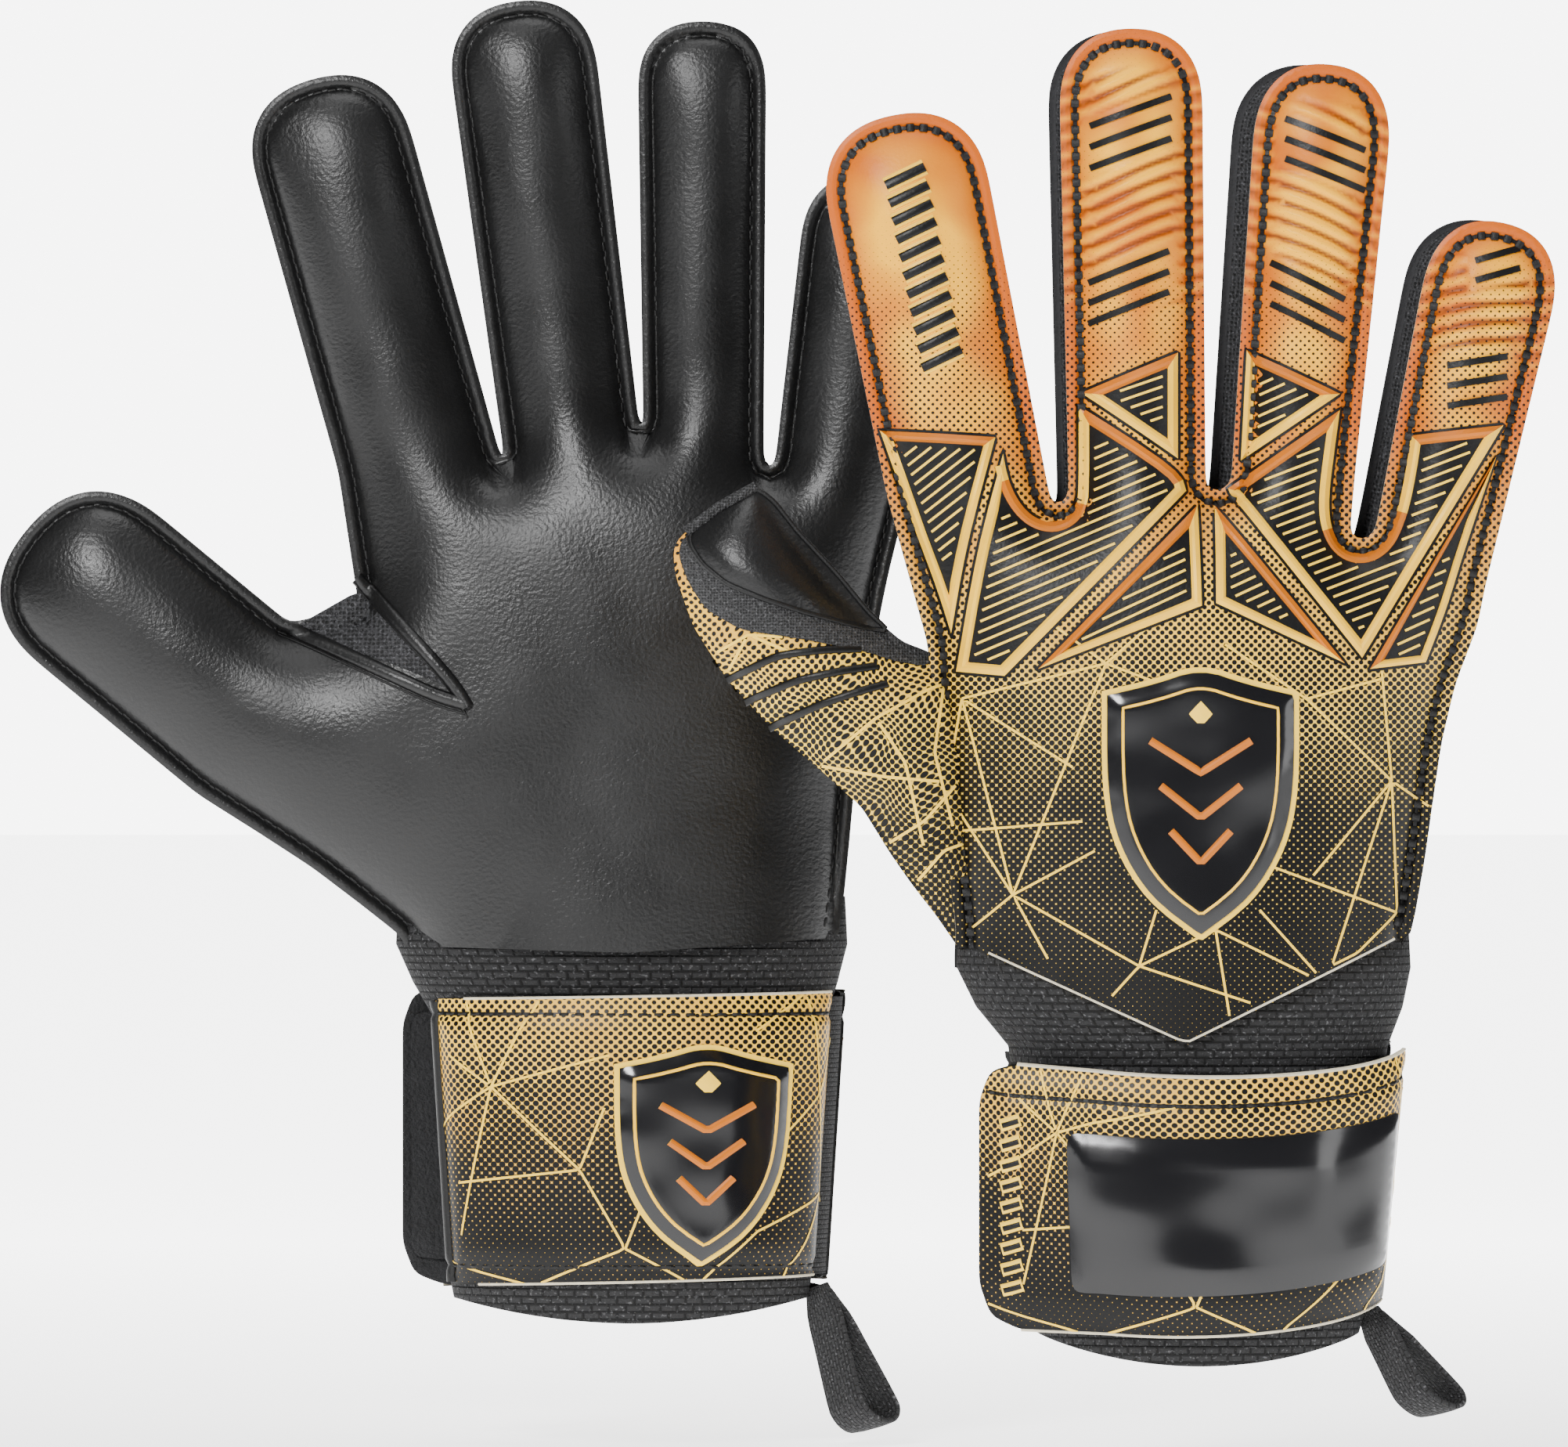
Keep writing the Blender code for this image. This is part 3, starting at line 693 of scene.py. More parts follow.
def shells(surface, points, faces, lift, thickness, label, materials, slot, nodes_for,
           depth=None):
    """Skins of some thickness on a surface, one piece for each body; materials: face, rim, inside."""
    depth = np.tile((10.0, 0.5), (len(points), 1)) if depth is None else depth
    outer = surface.place(points, lift)
    inner = surface.place(points, lift - thickness)
    faces = turned_out(outer, faces, surface.outward(points))
    normal = vertex_normals(outer, faces)
    edge_key = {tuple(sorted(e)) for e in border_of(faces).tolist()}
    owner = surface.owners(points[faces].mean(1))
    made = {}
    for k in np.unique(owner):
        mine = faces[owner == k]
        rim = np.array([e for e in border_of(mine).tolist() if tuple(sorted(e)) in edge_key])
        used = np.unique(mine)
        local = np.full(len(points), -1)
        local[used] = np.arange(len(used))
        on_rim = np.unique(rim)
        spot = np.full(len(points), -1)
        spot[on_rim] = np.arange(len(on_rim))
        n, m = len(used), len(on_rim)
        verts = np.vstack([outer[used], inner[used], outer[on_rim], inner[on_rim]])
        a, b = spot[rim[:, 0]] + 2 * n, spot[rim[:, 1]] + 2 * n
        wall = np.stack([b, a, a + m, b + m], axis=1)
        wall_normal = vertex_normals(verts, wall)[2 * n:]
        all_faces = local[mine].tolist() + (local[mine][:, ::-1] + n).tolist() + wall.tolist()
        marks = [0] * len(mine) + [2] * len(mine) + [1] * len(wall)
        uv = np.vstack([points[used], points[used], points[on_rim], points[on_rim]])
        normals = np.vstack([normal[used], -normal[used], wall_normal])
        name = surface.name_of(k, label)
        deep = np.concatenate([depth[used], depth[used], depth[on_rim], depth[on_rim]])
        piece = add_mesh(name, verts, all_faces, materials(k), marks, uv, normals=normals, edge=deep)
        surface.attach(piece, k)
        if nodes_for(k):
            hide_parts(*nodes_for(k))
        made[k] = piece
    return made


def quads(columns, rows, round_columns=False, round_rows=False):
    """The faces of a grid of vertices, row after row, which may close on itself either way."""
    steps = np.arange(columns if round_columns else columns - 1)
    after = (steps + 1) % columns
    return np.vstack([np.stack([steps + r * columns, after + r * columns, after + (r + 1) % rows * columns,
                                steps + (r + 1) % rows * columns], axis=1)
                      for r in range(rows if round_rows else rows - 1)])


class Trim:
    """Detail laid on a surface, gathered into one piece for each body that it moves with."""

    def __init__(self, surface):
        self.surface = surface
        self.found = {}

    def add(self, plan, lift, faces, material):
        plan, lift, faces = np.asarray(plan, float), np.asarray(lift, float), np.asarray(faces)
        owner = self.surface.owners(plan[faces].mean(1))
        for k in np.unique(owner):
            part = faces[owner == k]
            used, index = np.unique(part, return_inverse=True)
            self.found.setdefault(k, []).append((plan[used], lift[used], index.reshape(part.shape),
                                                 material))

    def make(self, label, slot):
        for k, parts in sorted(self.found.items()):
            verts, faces, marks, uv, names = [], [], [], [], []
            count = 0
            for plan, lift, index, material in parts:
                where = self.surface.place(plan, lift)
                index = turned_out(where, index, self.surface.outward(plan))
                if material not in names:
                    names.append(material)
                verts.append(where)
                uv.append(plan)
                faces += (index + count).tolist()
                marks += [names.index(material)] * len(index)
                count += len(plan)
            piece = add_mesh(self.surface.name_of(k, label), np.vstack(verts), faces,
                             [MATERIALS[name] for name in names], marks, np.vstack(uv))
            sharp = piece.data.polygons
            flat = [names.index(name) for name in FLAT_SHADED if name in names]
            sharp.foreach_set("use_smooth", [mark not in flat for mark in marks])
            self.surface.attach(piece, k)

    def ribbon(self, line, width, material, lift=0.12, crown=0.0, skirt=0.0, step=1.2, closed=False):
        """A strip along a line, flat or crowned."""
        line = resample(line, step, closed)
        side = normals_of(line, closed)
        if crown:
            section = ((-0.5, -skirt), (-0.46, 0.3), (-0.25, 0.85), (0.0, 1.0), (0.25, 0.85), (0.46, 0.3),
                       (0.5, -skirt))
        else:
            section = ((-0.5, 0.0), (0.5, 0.0))
        plan = np.concatenate([line + side * width * s for s, _ in section])
        lifts = np.concatenate([np.full(len(line), lift + (crown if h > 0 else 1.0) * h) for _,
                                h in section])
        self.add(plan, lifts, quads(len(line), len(section), closed), material)

    def dash(self, start, end, width, height, material, lift=0.0):
        """A stitch: a short domed strip with narrow ends."""
        start, end = np.asarray(start, float), np.asarray(end, float)
        run = end - start
        side = np.array([run[1], -run[0]]) / max(np.hypot(*run), 1e-9)
        share = np.array([0.0, 0.12, 0.5, 0.88, 1.0])
        wide = np.array([0.4, 1.0, 1.0, 1.0, 0.4]) * width / 2
        tall = np.array([0.0, 0.7, 1.0, 0.7, 0.0])
        plan, lifts = [], []
        for s, h in ((-1, -0.15), (-0.5, 0.8), (0.5, 0.8), (1, -0.15)):
            plan.append(start + share[:, None] * run + (s * wide)[:, None] * side)
            lifts.append(lift + h * height * tall)
        self.add(np.vstack(plan), np.concatenate(lifts), quads(len(share), len(plan)), material)

    def stitches(self, line, material, pitch=3.1, length=2.3, width=0.6, height=0.45, lift=0.25,
                 closed=False):
        """Stitches end to end along a line."""
        line = resample(line, 0.5, closed)
        if closed:
            line = np.vstack([line, line[:1]])
        total = np.concatenate([[0], np.cumsum(np.hypot(*np.diff(line, axis=0).T))])
        count = max(1, round(total[-1] / pitch))
        gap = total[-1] / count
        for k in range(count):
            ends = [[np.interp(k * gap + s, total, line[:, c]) for c in (0, 1)] for s in (0.2, length)]
            self.dash(*ends, width, height, material, lift)

    def fill(self, loop, material, lift, crown=0.0, reach=3.0, skirt=0.5, step=1.3):
        """A patch inside a loop, crowned towards its middle, with its edge turned down."""
        loop = clockwise(resample(loop, step, True))
        near = Near(loop, True)
        grid = grid_inside(loop, step)
        grid = grid[near(grid) > step * 0.55]
        points, faces = triangulate(loop, grid)
        depth = near(points)
        lifts = lift + crown * np.sin(np.clip(depth / reach, 0, 1) * np.pi / 2)
        if skirt:
            inner = inset_polygon(loop, -0.05)
            n = len(loop)
            steps = np.arange(n)
            after = (steps + 1) % n
            wall = np.stack([steps, after, after + n, steps + n], axis=1)
            ring = np.vstack([loop, inner])
            self.add(ring, np.concatenate([np.full(n, lift), np.full(n, lift - skirt)]), wall, material)
        self.add(points, lifts, faces, material)

    def bevel(self, loop, width, colours, lift=0.1, height=0.9, step=1.4):
        """A raised mitred frame inside a clockwise loop; colours name upward and other edges, a darker and a
        lighter gold that paint the frame's sides as shaded and lit.
        """
        loop = clockwise(loop)
        rows = [(loop, -0.25), (loop, 0.25), (inset_polygon(loop, width * 0.45), height),
                (inset_polygon(loop, width * 0.75), height * 0.75), (inset_polygon(loop, width), 0.05)]
        for k in range(len(loop)):
            after = (k + 1) % len(loop)
            run = loop[after] - loop[k]
            count = max(1, round(np.hypot(*run) / step))
            share = np.linspace(0, 1, count + 1)[:, None]
            plan = np.vstack([r[k] + share * (r[after] - r[k]) for r, _ in rows])
            lifts = np.concatenate([np.full(count + 1, lift + h) for _, h in rows])
            # painted light: a band's colour follows which way it lies, the darker gold for upward edges
            upward = -run[0] < -0.3 * np.hypot(*run)
            self.add(plan, lifts, quads(count + 1, len(rows)), colours[0] if upward else colours[1])

    def hatch(self, loop, angle, pitch, width, material, lift=0.3):
        """Slanted strips inside a loop."""
        loop = np.asarray(loop, float)
        turn = math.radians(angle)
        run, up = np.array([math.cos(turn), math.sin(turn)]), np.array([-math.sin(turn), math.cos(turn)])
        level, along = loop @ up, loop @ run
        for at in np.arange(level.min() + pitch * 0.7, level.max(), pitch):
            hits = []
            for a in range(len(loop)):
                b = (a + 1) % len(loop)
                if (level[a] > at) != (level[b] > at):
                    t = (at - level[a]) / (level[b] - level[a])
                    hits.append(along[a] + t * (along[b] - along[a]))
            hits.sort()
            for low, high in zip(hits[::2], hits[1::2]):
                if high - low > 2.0:
                    ends = [up * at + run * s for s in (low + 0.5, high - 0.5)]
                    self.ribbon(ends, width, material, lift)


# ---------------------------------------------------------------------------------- materials


class Graph:
    """A material and its nodes."""

    def __init__(self, name, roughness, specular=0.5):
        self.material = bpy.data.materials.new(name)
        self.material.use_nodes = True
        self.tree = self.material.node_tree
        self.shader = self.tree.nodes["Principled BSDF"]
        self.put(self.shader, "Roughness", roughness)
        self.put(self.shader, "Specular IOR Level", specular)
        MATERIALS[name] = self.material

    def put(self, node, key, value):
        socket = node.inputs[key]
        if isinstance(value, bpy.types.NodeSocket):
            self.tree.links.new(value, socket)
        elif isinstance(value, tuple) and len(socket.default_value) == 4:
            socket.default_value = (*value, 1)
        else:
            socket.default_value = value

    def node(self, kind, out, inputs, **options):
        node = self.tree.nodes.new(kind)
        for key, value in options.items():
            setattr(node, key, value)
        for key, value in inputs.items():
            self.put(node, key, value)
        return node.outputs[out]

    def math(self, operation, a, b=0.0):
        return self.node("ShaderNodeMath", 0, {0: a, 1: b}, operation=operation)

    def mix(self, factor, a, b):
        return self.node("ShaderNodeMix", 2, {0: factor, 6: a, 7: b}, data_type="RGBA")

    def step(self, value, low, high, to_low=0.0, to_high=1.0):
        inputs = {"Value": value, "From Min": low, "From Max": high, "To Min": to_low, "To Max": to_high}
        return self.node("ShaderNodeMapRange", 0, inputs)

    def plan(self):
        """The piece's plan coordinates, in millimetres."""
        uv = self.node("ShaderNodeUVMap", 0, {}, uv_map="plan")
        return self.node("ShaderNodeVectorMath", 0, {0: uv, "Scale": 100.0}, operation="SCALE")

    def parts(self, vector):
        node = self.tree.nodes.new("ShaderNodeSeparateXYZ")
        self.put(node, 0, vector)
        return node.outputs[0], node.outputs[1]

    def noise(self, vector, scale, detail=2.0):
        return self.node("ShaderNodeTexNoise", 0, {"Vector": vector, "Scale": scale, "Detail": detail})

    def ramp(self, value, stops):
        """A value read off a curve of (at, value) stops, with at from 0 to 1."""
        node = self.tree.nodes.new("ShaderNodeValToRGB")
        for element in list(node.color_ramp.elements)[1:]:
            node.color_ramp.elements.remove(element)
        node.color_ramp.elements[0].position = stops[0][0]
        node.color_ramp.elements[0].color = (*[stops[0][1]] * 3, 1)
        for at, level in stops[1:]:
            node.color_ramp.elements.new(at).color = (level, level, level, 1)
        self.put(node, 0, value)
        return node.outputs[0]

    def bump(self, height, strength, distance):
        normal = self.node("ShaderNodeBump", 0,
                           {"Height": height, "Strength": strength, "Distance": distance * MM})
        self.put(self.shader, "Normal", normal)

    def colour(self, value):
        self.put(self.shader, "Base Color", value)


MATERIALS = {}
FLAT_SHADED = ("gold_deep", "gold_light")


def make_latex(name, level, roughness):
    g = Graph(name, roughness, 0.4)
    plan = g.plan()
    grain = g.noise(plan, 1.15, 3.0)
    cloud = g.noise(plan, 0.06)
    g.colour(g.mix(cloud, (level * 0.8,) * 3, (level * 1.25, level * 1.25, level * 1.3)))
    g.put(g.shader, "Roughness", g.step(cloud, 0.3, 0.7, roughness - 0.05, roughness + 0.06))
    g.bump(grain, 0.5, 0.28)


def gold_colour(g, plan, height=None):
    """Copper at the edges and in clouds, yellow between, paler towards the wrist. Given heights, the copper at the
    sewn edges is partly the print's own and partly painted shade, and the ridges get painted highlight on their
    crests and painted shade in their troughs.
    """
    cloud = g.step(g.noise(plan, 0.05, 1.0), 0.36, 0.6)
    if height is not None:
        uv = g.node("ShaderNodeUVMap", 0, {}, uv_map="edge")
        depth, crest = g.parts(uv)
        # painted shade: the mix turns to copper within 10 mm of the sewn edge, on top of the print's copper edge
        cloud = g.math("MULTIPLY", g.math("ADD", cloud, 0.15), g.step(depth, 0.022, 0.1))
        # painted highlight on the ridges' crests and painted shade in their troughs
        cloud = g.math("ADD", cloud, g.step(crest, 0.0, 0.01, -0.45, 0.45))
    gold = g.mix(cloud, COPPER, YELLOW)
    if height is not None:
        # painted shade: the deepest troughs are darkened to a dim copper
        gold = g.mix(g.step(crest, 0.0045, 0.0), gold, tuple(c * 0.35 for c in COPPER))
        gold = g.mix(g.step(height, 190.0, 130.0, 0.0, 0.85), gold, PALE_GOLD)
    return gold


def make_print(name, pitch, span, stops, cloth=False, tinted=True):
    """Halftone: black dots on gold that grow as height falls, until gold dots are left on black."""
    g = Graph(name, 0.42 if not cloth else 0.7, 0.22)
    plan = g.plan()
    if cloth:
        bend = g.noise(plan, 0.09, 1.0)
        bent = g.node("ShaderNodeVectorMath", 0, {0: bend, "Scale": 5.0}, operation="SCALE")
        lattice = g.node("ShaderNodeVectorMath", 0, {0: plan, 1: bent}, operation="ADD")
    else:
        lattice = plan
    x, z = g.parts(lattice)
    halves = []
    for operation in ("ADD", "SUBTRACT"):
        turned = g.math("MULTIPLY", g.math(operation, x, z), math.sqrt(0.5) / pitch)
        halves.append(g.math("SUBTRACT", g.math("FRACT", turned), 0.5))
    squares = [g.math("MULTIPLY", half, half) for half in halves]
    radius = g.math("SQRT", g.math("ADD", *squares))
    height = g.parts(plan)[1]
    low, high = span
    level = g.ramp(g.step(height, low, high), [((z - low) / (high - low), r) for z, r in stops])
    level = g.math("ADD", level, g.step(g.noise(plan, 0.05), 0.3, 0.7, -0.05, 0.05))
    gold = g.step(g.math("SUBTRACT", radius, level), -0.05, 0.05)
    # When set, the gold takes the painted shade at the edges and in the ridges' troughs, the painted highlight on
    # the crests, and the paling towards the wrist
    shown = gold_colour(g, plan, height) if tinted else gold_colour(g, plan)
    if not tinted:
        shown = g.mix(0.6, shown, PALE_GOLD)
    g.colour(g.mix(gold, INK, shown))
    grain = g.noise(plan, 1.3, 2.0)
    g.bump(g.math("ADD", g.math("MULTIPLY", grain, 0.5), g.math("MULTIPLY", gold, 0.5)),
           0.45 if not cloth else 0.9, 0.2)


def make_plain(name, colour, roughness, scale, strength, distance, spread=0.25, specular=0.5):
    """One colour, unevenly, with a grain."""
    g = Graph(name, roughness, specular)
    plan = g.plan()
    cloud = g.noise(plan, scale * 0.2)
    g.colour(g.mix(cloud, tuple(c * (1 - spread) for c in colour), tuple(c * (1 + spread) for c in colour)))
    g.bump(g.noise(plan, scale, 3.0), strength, distance)
    return g


def make_gloss(name):
    """Smooth rubber film with slow swells."""
    g = Graph(name, 0.16)
    swell = g.noise(g.plan(), 0.07, 0.0)
    g.colour(g.mix(swell, (0.004, 0.004, 0.005), (0.008, 0.008, 0.009)))
    g.bump(swell, 0.5, 2.0)


def make_woven(name, colour, wide, tall, mortar, strength, roughness=0.85):
    """Rows of short raised threads, as in a basket knit or webbing, with painted shade in the gaps and painted
    glints on the fibres.
    """
    g = Graph(name, roughness, 0.35)
    plan = g.plan()
    inputs = {"Vector": plan, "Scale": 1.0, "Brick Width": wide, "Row Height": tall,
              "Mortar Size": mortar, "Mortar Smooth": 1.0, "Bias": 0.0}
    gap = g.node("ShaderNodeTexBrick", 1, inputs)
    fuzz = g.noise(plan, 2.4, 3.0)
    raised = g.math("SUBTRACT", 1.0, gap)
    # painted shade: the gaps between the raised threads are darkened to 0.15 of the colour
    lit = g.math("MULTIPLY", raised, g.step(fuzz, 0.25, 0.75, 0.4, 1.0))
    # painted highlight: sparse specks lightened towards seven times the colour, as glints on the fibres
    painted_glint = g.step(g.noise(plan, 1.5, 1.0), 0.6, 0.72)
    cloth = g.mix(lit, tuple(c * 0.15 for c in colour), colour)
    g.colour(g.mix(g.math("MULTIPLY", painted_glint, 0.5), cloth, tuple(c * 7 for c in colour)))
    g.bump(g.math("ADD", raised, g.math("MULTIPLY", fuzz, 0.5)), strength, 0.6)


def make_net(name, colour, pitch):
    """Fine mesh cloth: threads round small dark holes, with painted glints on the threads."""
    g = Graph(name, 0.75, 0.4)
    plan = g.plan()
    cell = g.node("ShaderNodeTexVoronoi", 0, {"Vector": plan, "Scale": 1 / pitch, "Randomness": 0.35})
    thread = g.step(cell, 0.2, 0.5)
    # painted highlight: sparse specks lightened towards six times the colour, as glints on the threads
    painted_glint = g.math("MULTIPLY", g.step(g.noise(plan, 1.8, 1.0), 0.56, 0.7), 0.4)
    g.colour(g.mix(painted_glint, g.mix(thread, (0.002, 0.002, 0.002), colour), tuple(c * 6 for c in colour)))
    g.bump(thread, 0.9, 0.35)


COPPER = (0.52, 0.10, 0.0)
YELLOW = (1.0, 0.46, 0.0)
PALE_GOLD = (0.88, 0.60, 0.07)
INK = (0.002, 0.002, 0.002)
make_latex("latex", 0.005, 0.37)
make_latex("latex_edge", 0.016, 0.6)
make_plain("lining", (0.02, 0.02, 0.022), 0.9, 1.6, 0.5, 0.4)
make_plain("foam_edge", (0.62, 0.56, 0.42), 0.9, 1.2, 0.8, 0.5, 0.3)
make_print("print_back", 1.22, (60.0, 240.0),
           ((60, 0.7), (80, 0.66), (97, 0.61), (115, 0.54), (135, 0.45), (150, 0.37), (190, 0.27),
            (214, 0.18), (228, -0.1)))
make_print("print_thumb", 1.3, (60.0, 200.0),
           ((60, 0.6), (90, 0.56), (110, 0.5), (130, 0.42), (150, 0.36), (170, 0.3)), cloth=True)
make_print("print_strap", 1.3, (0.0, 75.0),
           ((0, 0.7), (14, 0.66), (30, 0.58), (45, 0.48), (58, 0.4), (70, 0.34)), tinted=False)
# A deep and a light gold: print colours on the shield and the index bars, and on the frames' bevels a painted
# shaded face and a painted lit face
make_plain("gold_deep", (0.50, 0.13, 0.0), 0.4, 0.5, 0.15, 0.15, 0.2, 0.3)
make_plain("gold_light", (0.96, 0.54, 0.015), 0.4, 0.5, 0.15, 0.15, 0.2, 0.3)
make_plain("gold_line", (0.98, 0.62, 0.045), 0.45, 0.8, 0.1, 0.1, 0.1, 0.25)
make_plain("ink", (0.003, 0.003, 0.003), 0.4, 1.2, 0.4, 0.2, 0.25, 0.25)
make_plain("thread", (0.004, 0.004, 0.004), 0.5, 3.0, 0.6, 0.2, 0.25, 0.3)
make_plain("fleece", (0.012, 0.012, 0.013), 0.95, 1.1, 1.0, 1.2, 0.6)
make_gloss("gloss")
make_woven("knit", (0.022, 0.022, 0.023), 3.1, 1.55, 0.36, 1.0)
make_woven("webbing", (0.022, 0.022, 0.023), 1.9, 1.0, 0.22, 1.0)
make_net("net", (0.022, 0.022, 0.024), 0.9)
make_net("thumb_knit", (0.024, 0.024, 0.025), 0.6)


# ---------------------------------------------------------------------------------- patterns

# The back's printed pattern, drawn for the right glove and moved to the left one by landmarks
FRAMES = (
    (((-65.1, 189.7), (-41.6, 188.3), (-47.6, 166.0), (-50.6, 148.3), (-53.2, 156.7), (-57.6, 168.5)), 1.9,
     38),
    (((-40.0, 184.9), (-39.3, 181.0), (-38.1, 177.5), (-36.4, 174.6), (-34.4, 172.5), (-32.1, 171.3),
      (-29.8, 171.0), (-27.7, 171.6), (-26.0, 172.9), (-25.0, 174.8), (-24.5, 177.2), (-24.5, 194.8),
      (-3.8, 181.4), (-2.6, 177.4), (-39.8, 139.6), (-49.6, 140.5), (-45.4, 165.2)), 2.1, 23),
    (((-0.3, 174.5), (0.3, 153.9), (-33.0, 141.0)), 2.0, 25),
    (((-24.0, 197.4), (-4.3, 205.6), (-4.3, 184.0)), 2.1, 19),
    (((9.8, 206.1), (28.8, 197.2), (8.6, 183.6)), 2.0, 24),
    (((28.8, 193.9), (6.0, 177.9), (6.7, 176.2), (33.0, 143.3), (62.2, 190.8), (43.4, 188.7), (42.3, 181.5),
      (41.0, 175.0), (39.6, 170.6), (38.0, 167.4), (35.8, 165.4), (33.2, 164.6), (30.6, 165.1),
      (28.4, 167.0), (27.0, 170.2), (26.5, 174.0), (26.8, 179.0), (27.6, 185.0)), 2.1, 21),
    (((3.2, 174.5), (3.2, 154.4), (29.4, 142.2)), 2.0, 25),
    (((60.8, 184.5), (34.6, 141.0), (46.2, 142.4), (50.4, 153.0), (54.6, 166.6)), 1.5, 24),
)
# On each finger's back: short slits (x, z to x, z), then how many more below and how far apart
SLITS = (
    ((-22.3, 251.8), (-5.6, 257.9), 3, 4.3), ((-22.6, 219.8), (-6.1, 226.3), 3, 4.15),
    ((17.6, 253.4), (34.0, 246.9), 3, 4.1), ((14.6, 224.0), (29.8, 216.4), 3, 4.2),
    ((56.4, 224.4), (65.6, 227.0), 2, 4.1), ((50.6, 202.9), (63.0, 204.8), 3, 4.1),
)
NETWORK = (
    ((-48.4, 135.0), (-19.2, 142.1), (-38.1, 95.0), (-48.4, 135.0), (-26.0, 121.0)),
    ((-19.2, 142.1), (-9.0, 151.0)), ((-19.2, 142.1), (-30.0, 150.0)), ((-19.2, 142.1), (-3.0, 136.0)),
    ((-38.1, 95.0), (-21.5, 104.0)), ((-38.1, 95.0), (-46.5, 88.0)),
           ((-12.5, 80.6), (-38.1, 95.0), (-31.0, 82.0)),
    ((21.6, 134.9), (39.2, 118.2), (40.5, 91.3), (25.6, 76.9), (39.2, 118.2), (47.0, 113.0)),
    ((39.2, 118.2), (23.0, 99.0)), ((39.2, 118.2), (37.0, 141.0)), ((21.6, 134.9), (37.0, 139.0)),
    ((21.6, 134.9), (5.0, 146.0)), ((25.6, 76.9), (3.0, 88.0), (-12.5, 80.6), (-18.0, 74.5)),
    ((-12.5, 80.6), (12.0, 72.5)), ((-12.5, 80.6), (-9.0, 92.0)), ((25.6, 76.9), (12.0, 92.0)),
    ((40.5, 91.3), (14.0, 101.0)), ((-24.0, 110.0), (-48.5, 108.0)), ((-48.4, 135.0), (-51.0, 120.0)),
    ((-38.1, 95.0), (-49.0, 112.0)), ((3.0, 88.0), (6.0, 69.5)),
)
THUMB_NETWORK = (
    ((-101.0, 143.0), (-92.0, 148.0), (-84.0, 147.5)), ((-92.0, 148.0), (-97.0, 139.0)),
                 ((-92.0, 148.0), (-80.0, 143.0)),
    ((-78.0, 121.0), (-66.0, 131.0), (-55.0, 137.0), (-45.0, 140.0)),
                 ((-79.0, 121.5), (-64.0, 119.0), (-52.0, 118.0)),
    ((-66.0, 131.0), (-60.0, 122.0), (-56.0, 104.0)), ((-52.0, 138.0), (-54.0, 124.0), (-50.0, 108.0)),
    ((-64.0, 105.0), (-56.0, 110.0), (-49.0, 118.0)), ((-58.0, 97.0), (-52.0, 104.0), (-46.0, 106.0)),
)
STRAP_NETWORK = (
    ((-37.0, 57.0), (-27.4, 50.3), (-34.0, 70.0)), ((-17.0, 70.0), (-27.4, 50.3), (-36.0, 19.0)),
    ((-27.4, 50.3), (-4.0, 57.0)), ((-27.4, 50.3), (-10.0, 33.0), (-1.0, 16.5), (-21.0, 8.5)),
    ((-1.0, 16.5), (14.0, 8.5)), ((-1.0, 16.5), (4.0, 30.0)), ((-36.0, 30.0), (-10.0, 33.0), (-5.0, 46.0)),
    ((36.0, 70.0), (39.5, 48.7), (27.0, 36.0)), ((39.5, 48.7), (46.0, 62.0)), ((39.5, 48.7), (43.0, 28.0)),
    ((26.0, 20.0), (43.0, 28.0), (33.0, 8.5)), ((43.0, 28.0), (50.0, 20.0)), ((14.0, 8.5), (26.0, 20.0)),
    ((-44.0, 40.0), (-27.4, 50.3)), ((-44.0, 14.0), (-21.0, 8.5)), ((24.0, 62.0), (36.0, 70.0)),
)
SHIELD = ((-0.5, 0.40), (-0.25, 0.44), (0.0, 0.5), (0.25, 0.44), (0.5, 0.40), (0.5, 0.05), (0.44, -0.16),
          (0.27, -0.36), (0.0, -0.5), (-0.27, -0.36), (-0.44, -0.16), (-0.5, 0.05))


def landmarks(glove):
    """Places that both gloves have, for moving a pattern from one to the other."""
    places = [crotch_between(glove, k) for k in range(1, 4)]
    for digit in glove.digits[1:]:
        for share in (0.3, 0.6, 0.95):
            a = digit.length * share
            places += [digit.plan(a, side * digit.half(a)) for side in (-1, 1)]
    palm = f"{glove.side}_palm_latex"
    places += [(node_edge(palm, glove, z)[1], z) for z in (90.0, 110.0, 130.0, 150.0)]
    places += [(x, z) for x, z in (LEFT_EDGE if glove.side == "left" else RIGHT_EDGE)]
    places.append(glove.hem[1])
    return np.array(places)


LEFT_EDGE = ((-46.0, 90.0), (-49.0, 110.0), (-52.0, 130.0), (-56.5, 150.0))
RIGHT_EDGE = ((-48.8, 90.0), (-52.0, 110.0), (-54.0, 130.0), (-55.4, 147.0))


def moved(points, source, target):
    """Points moved by a local affine fit of target landmarks to source landmarks."""
    out = []
    for point in np.asarray(points, float):
        weight = 1 / (((source - point) ** 2).sum(1) + 4.0) ** 1.5
        weight /= weight.sum()
        mean_s, mean_t = weight @ source, weight @ target
        s, t = source - mean_s, target - mean_t
        turn = np.linalg.solve((s * weight[:, None]).T @ s + np.eye(2) * 1e-6, (s * weight[:, None]).T @ t)
        out.append((point - mean_s) @ turn + mean_t)
    return np.array(out)


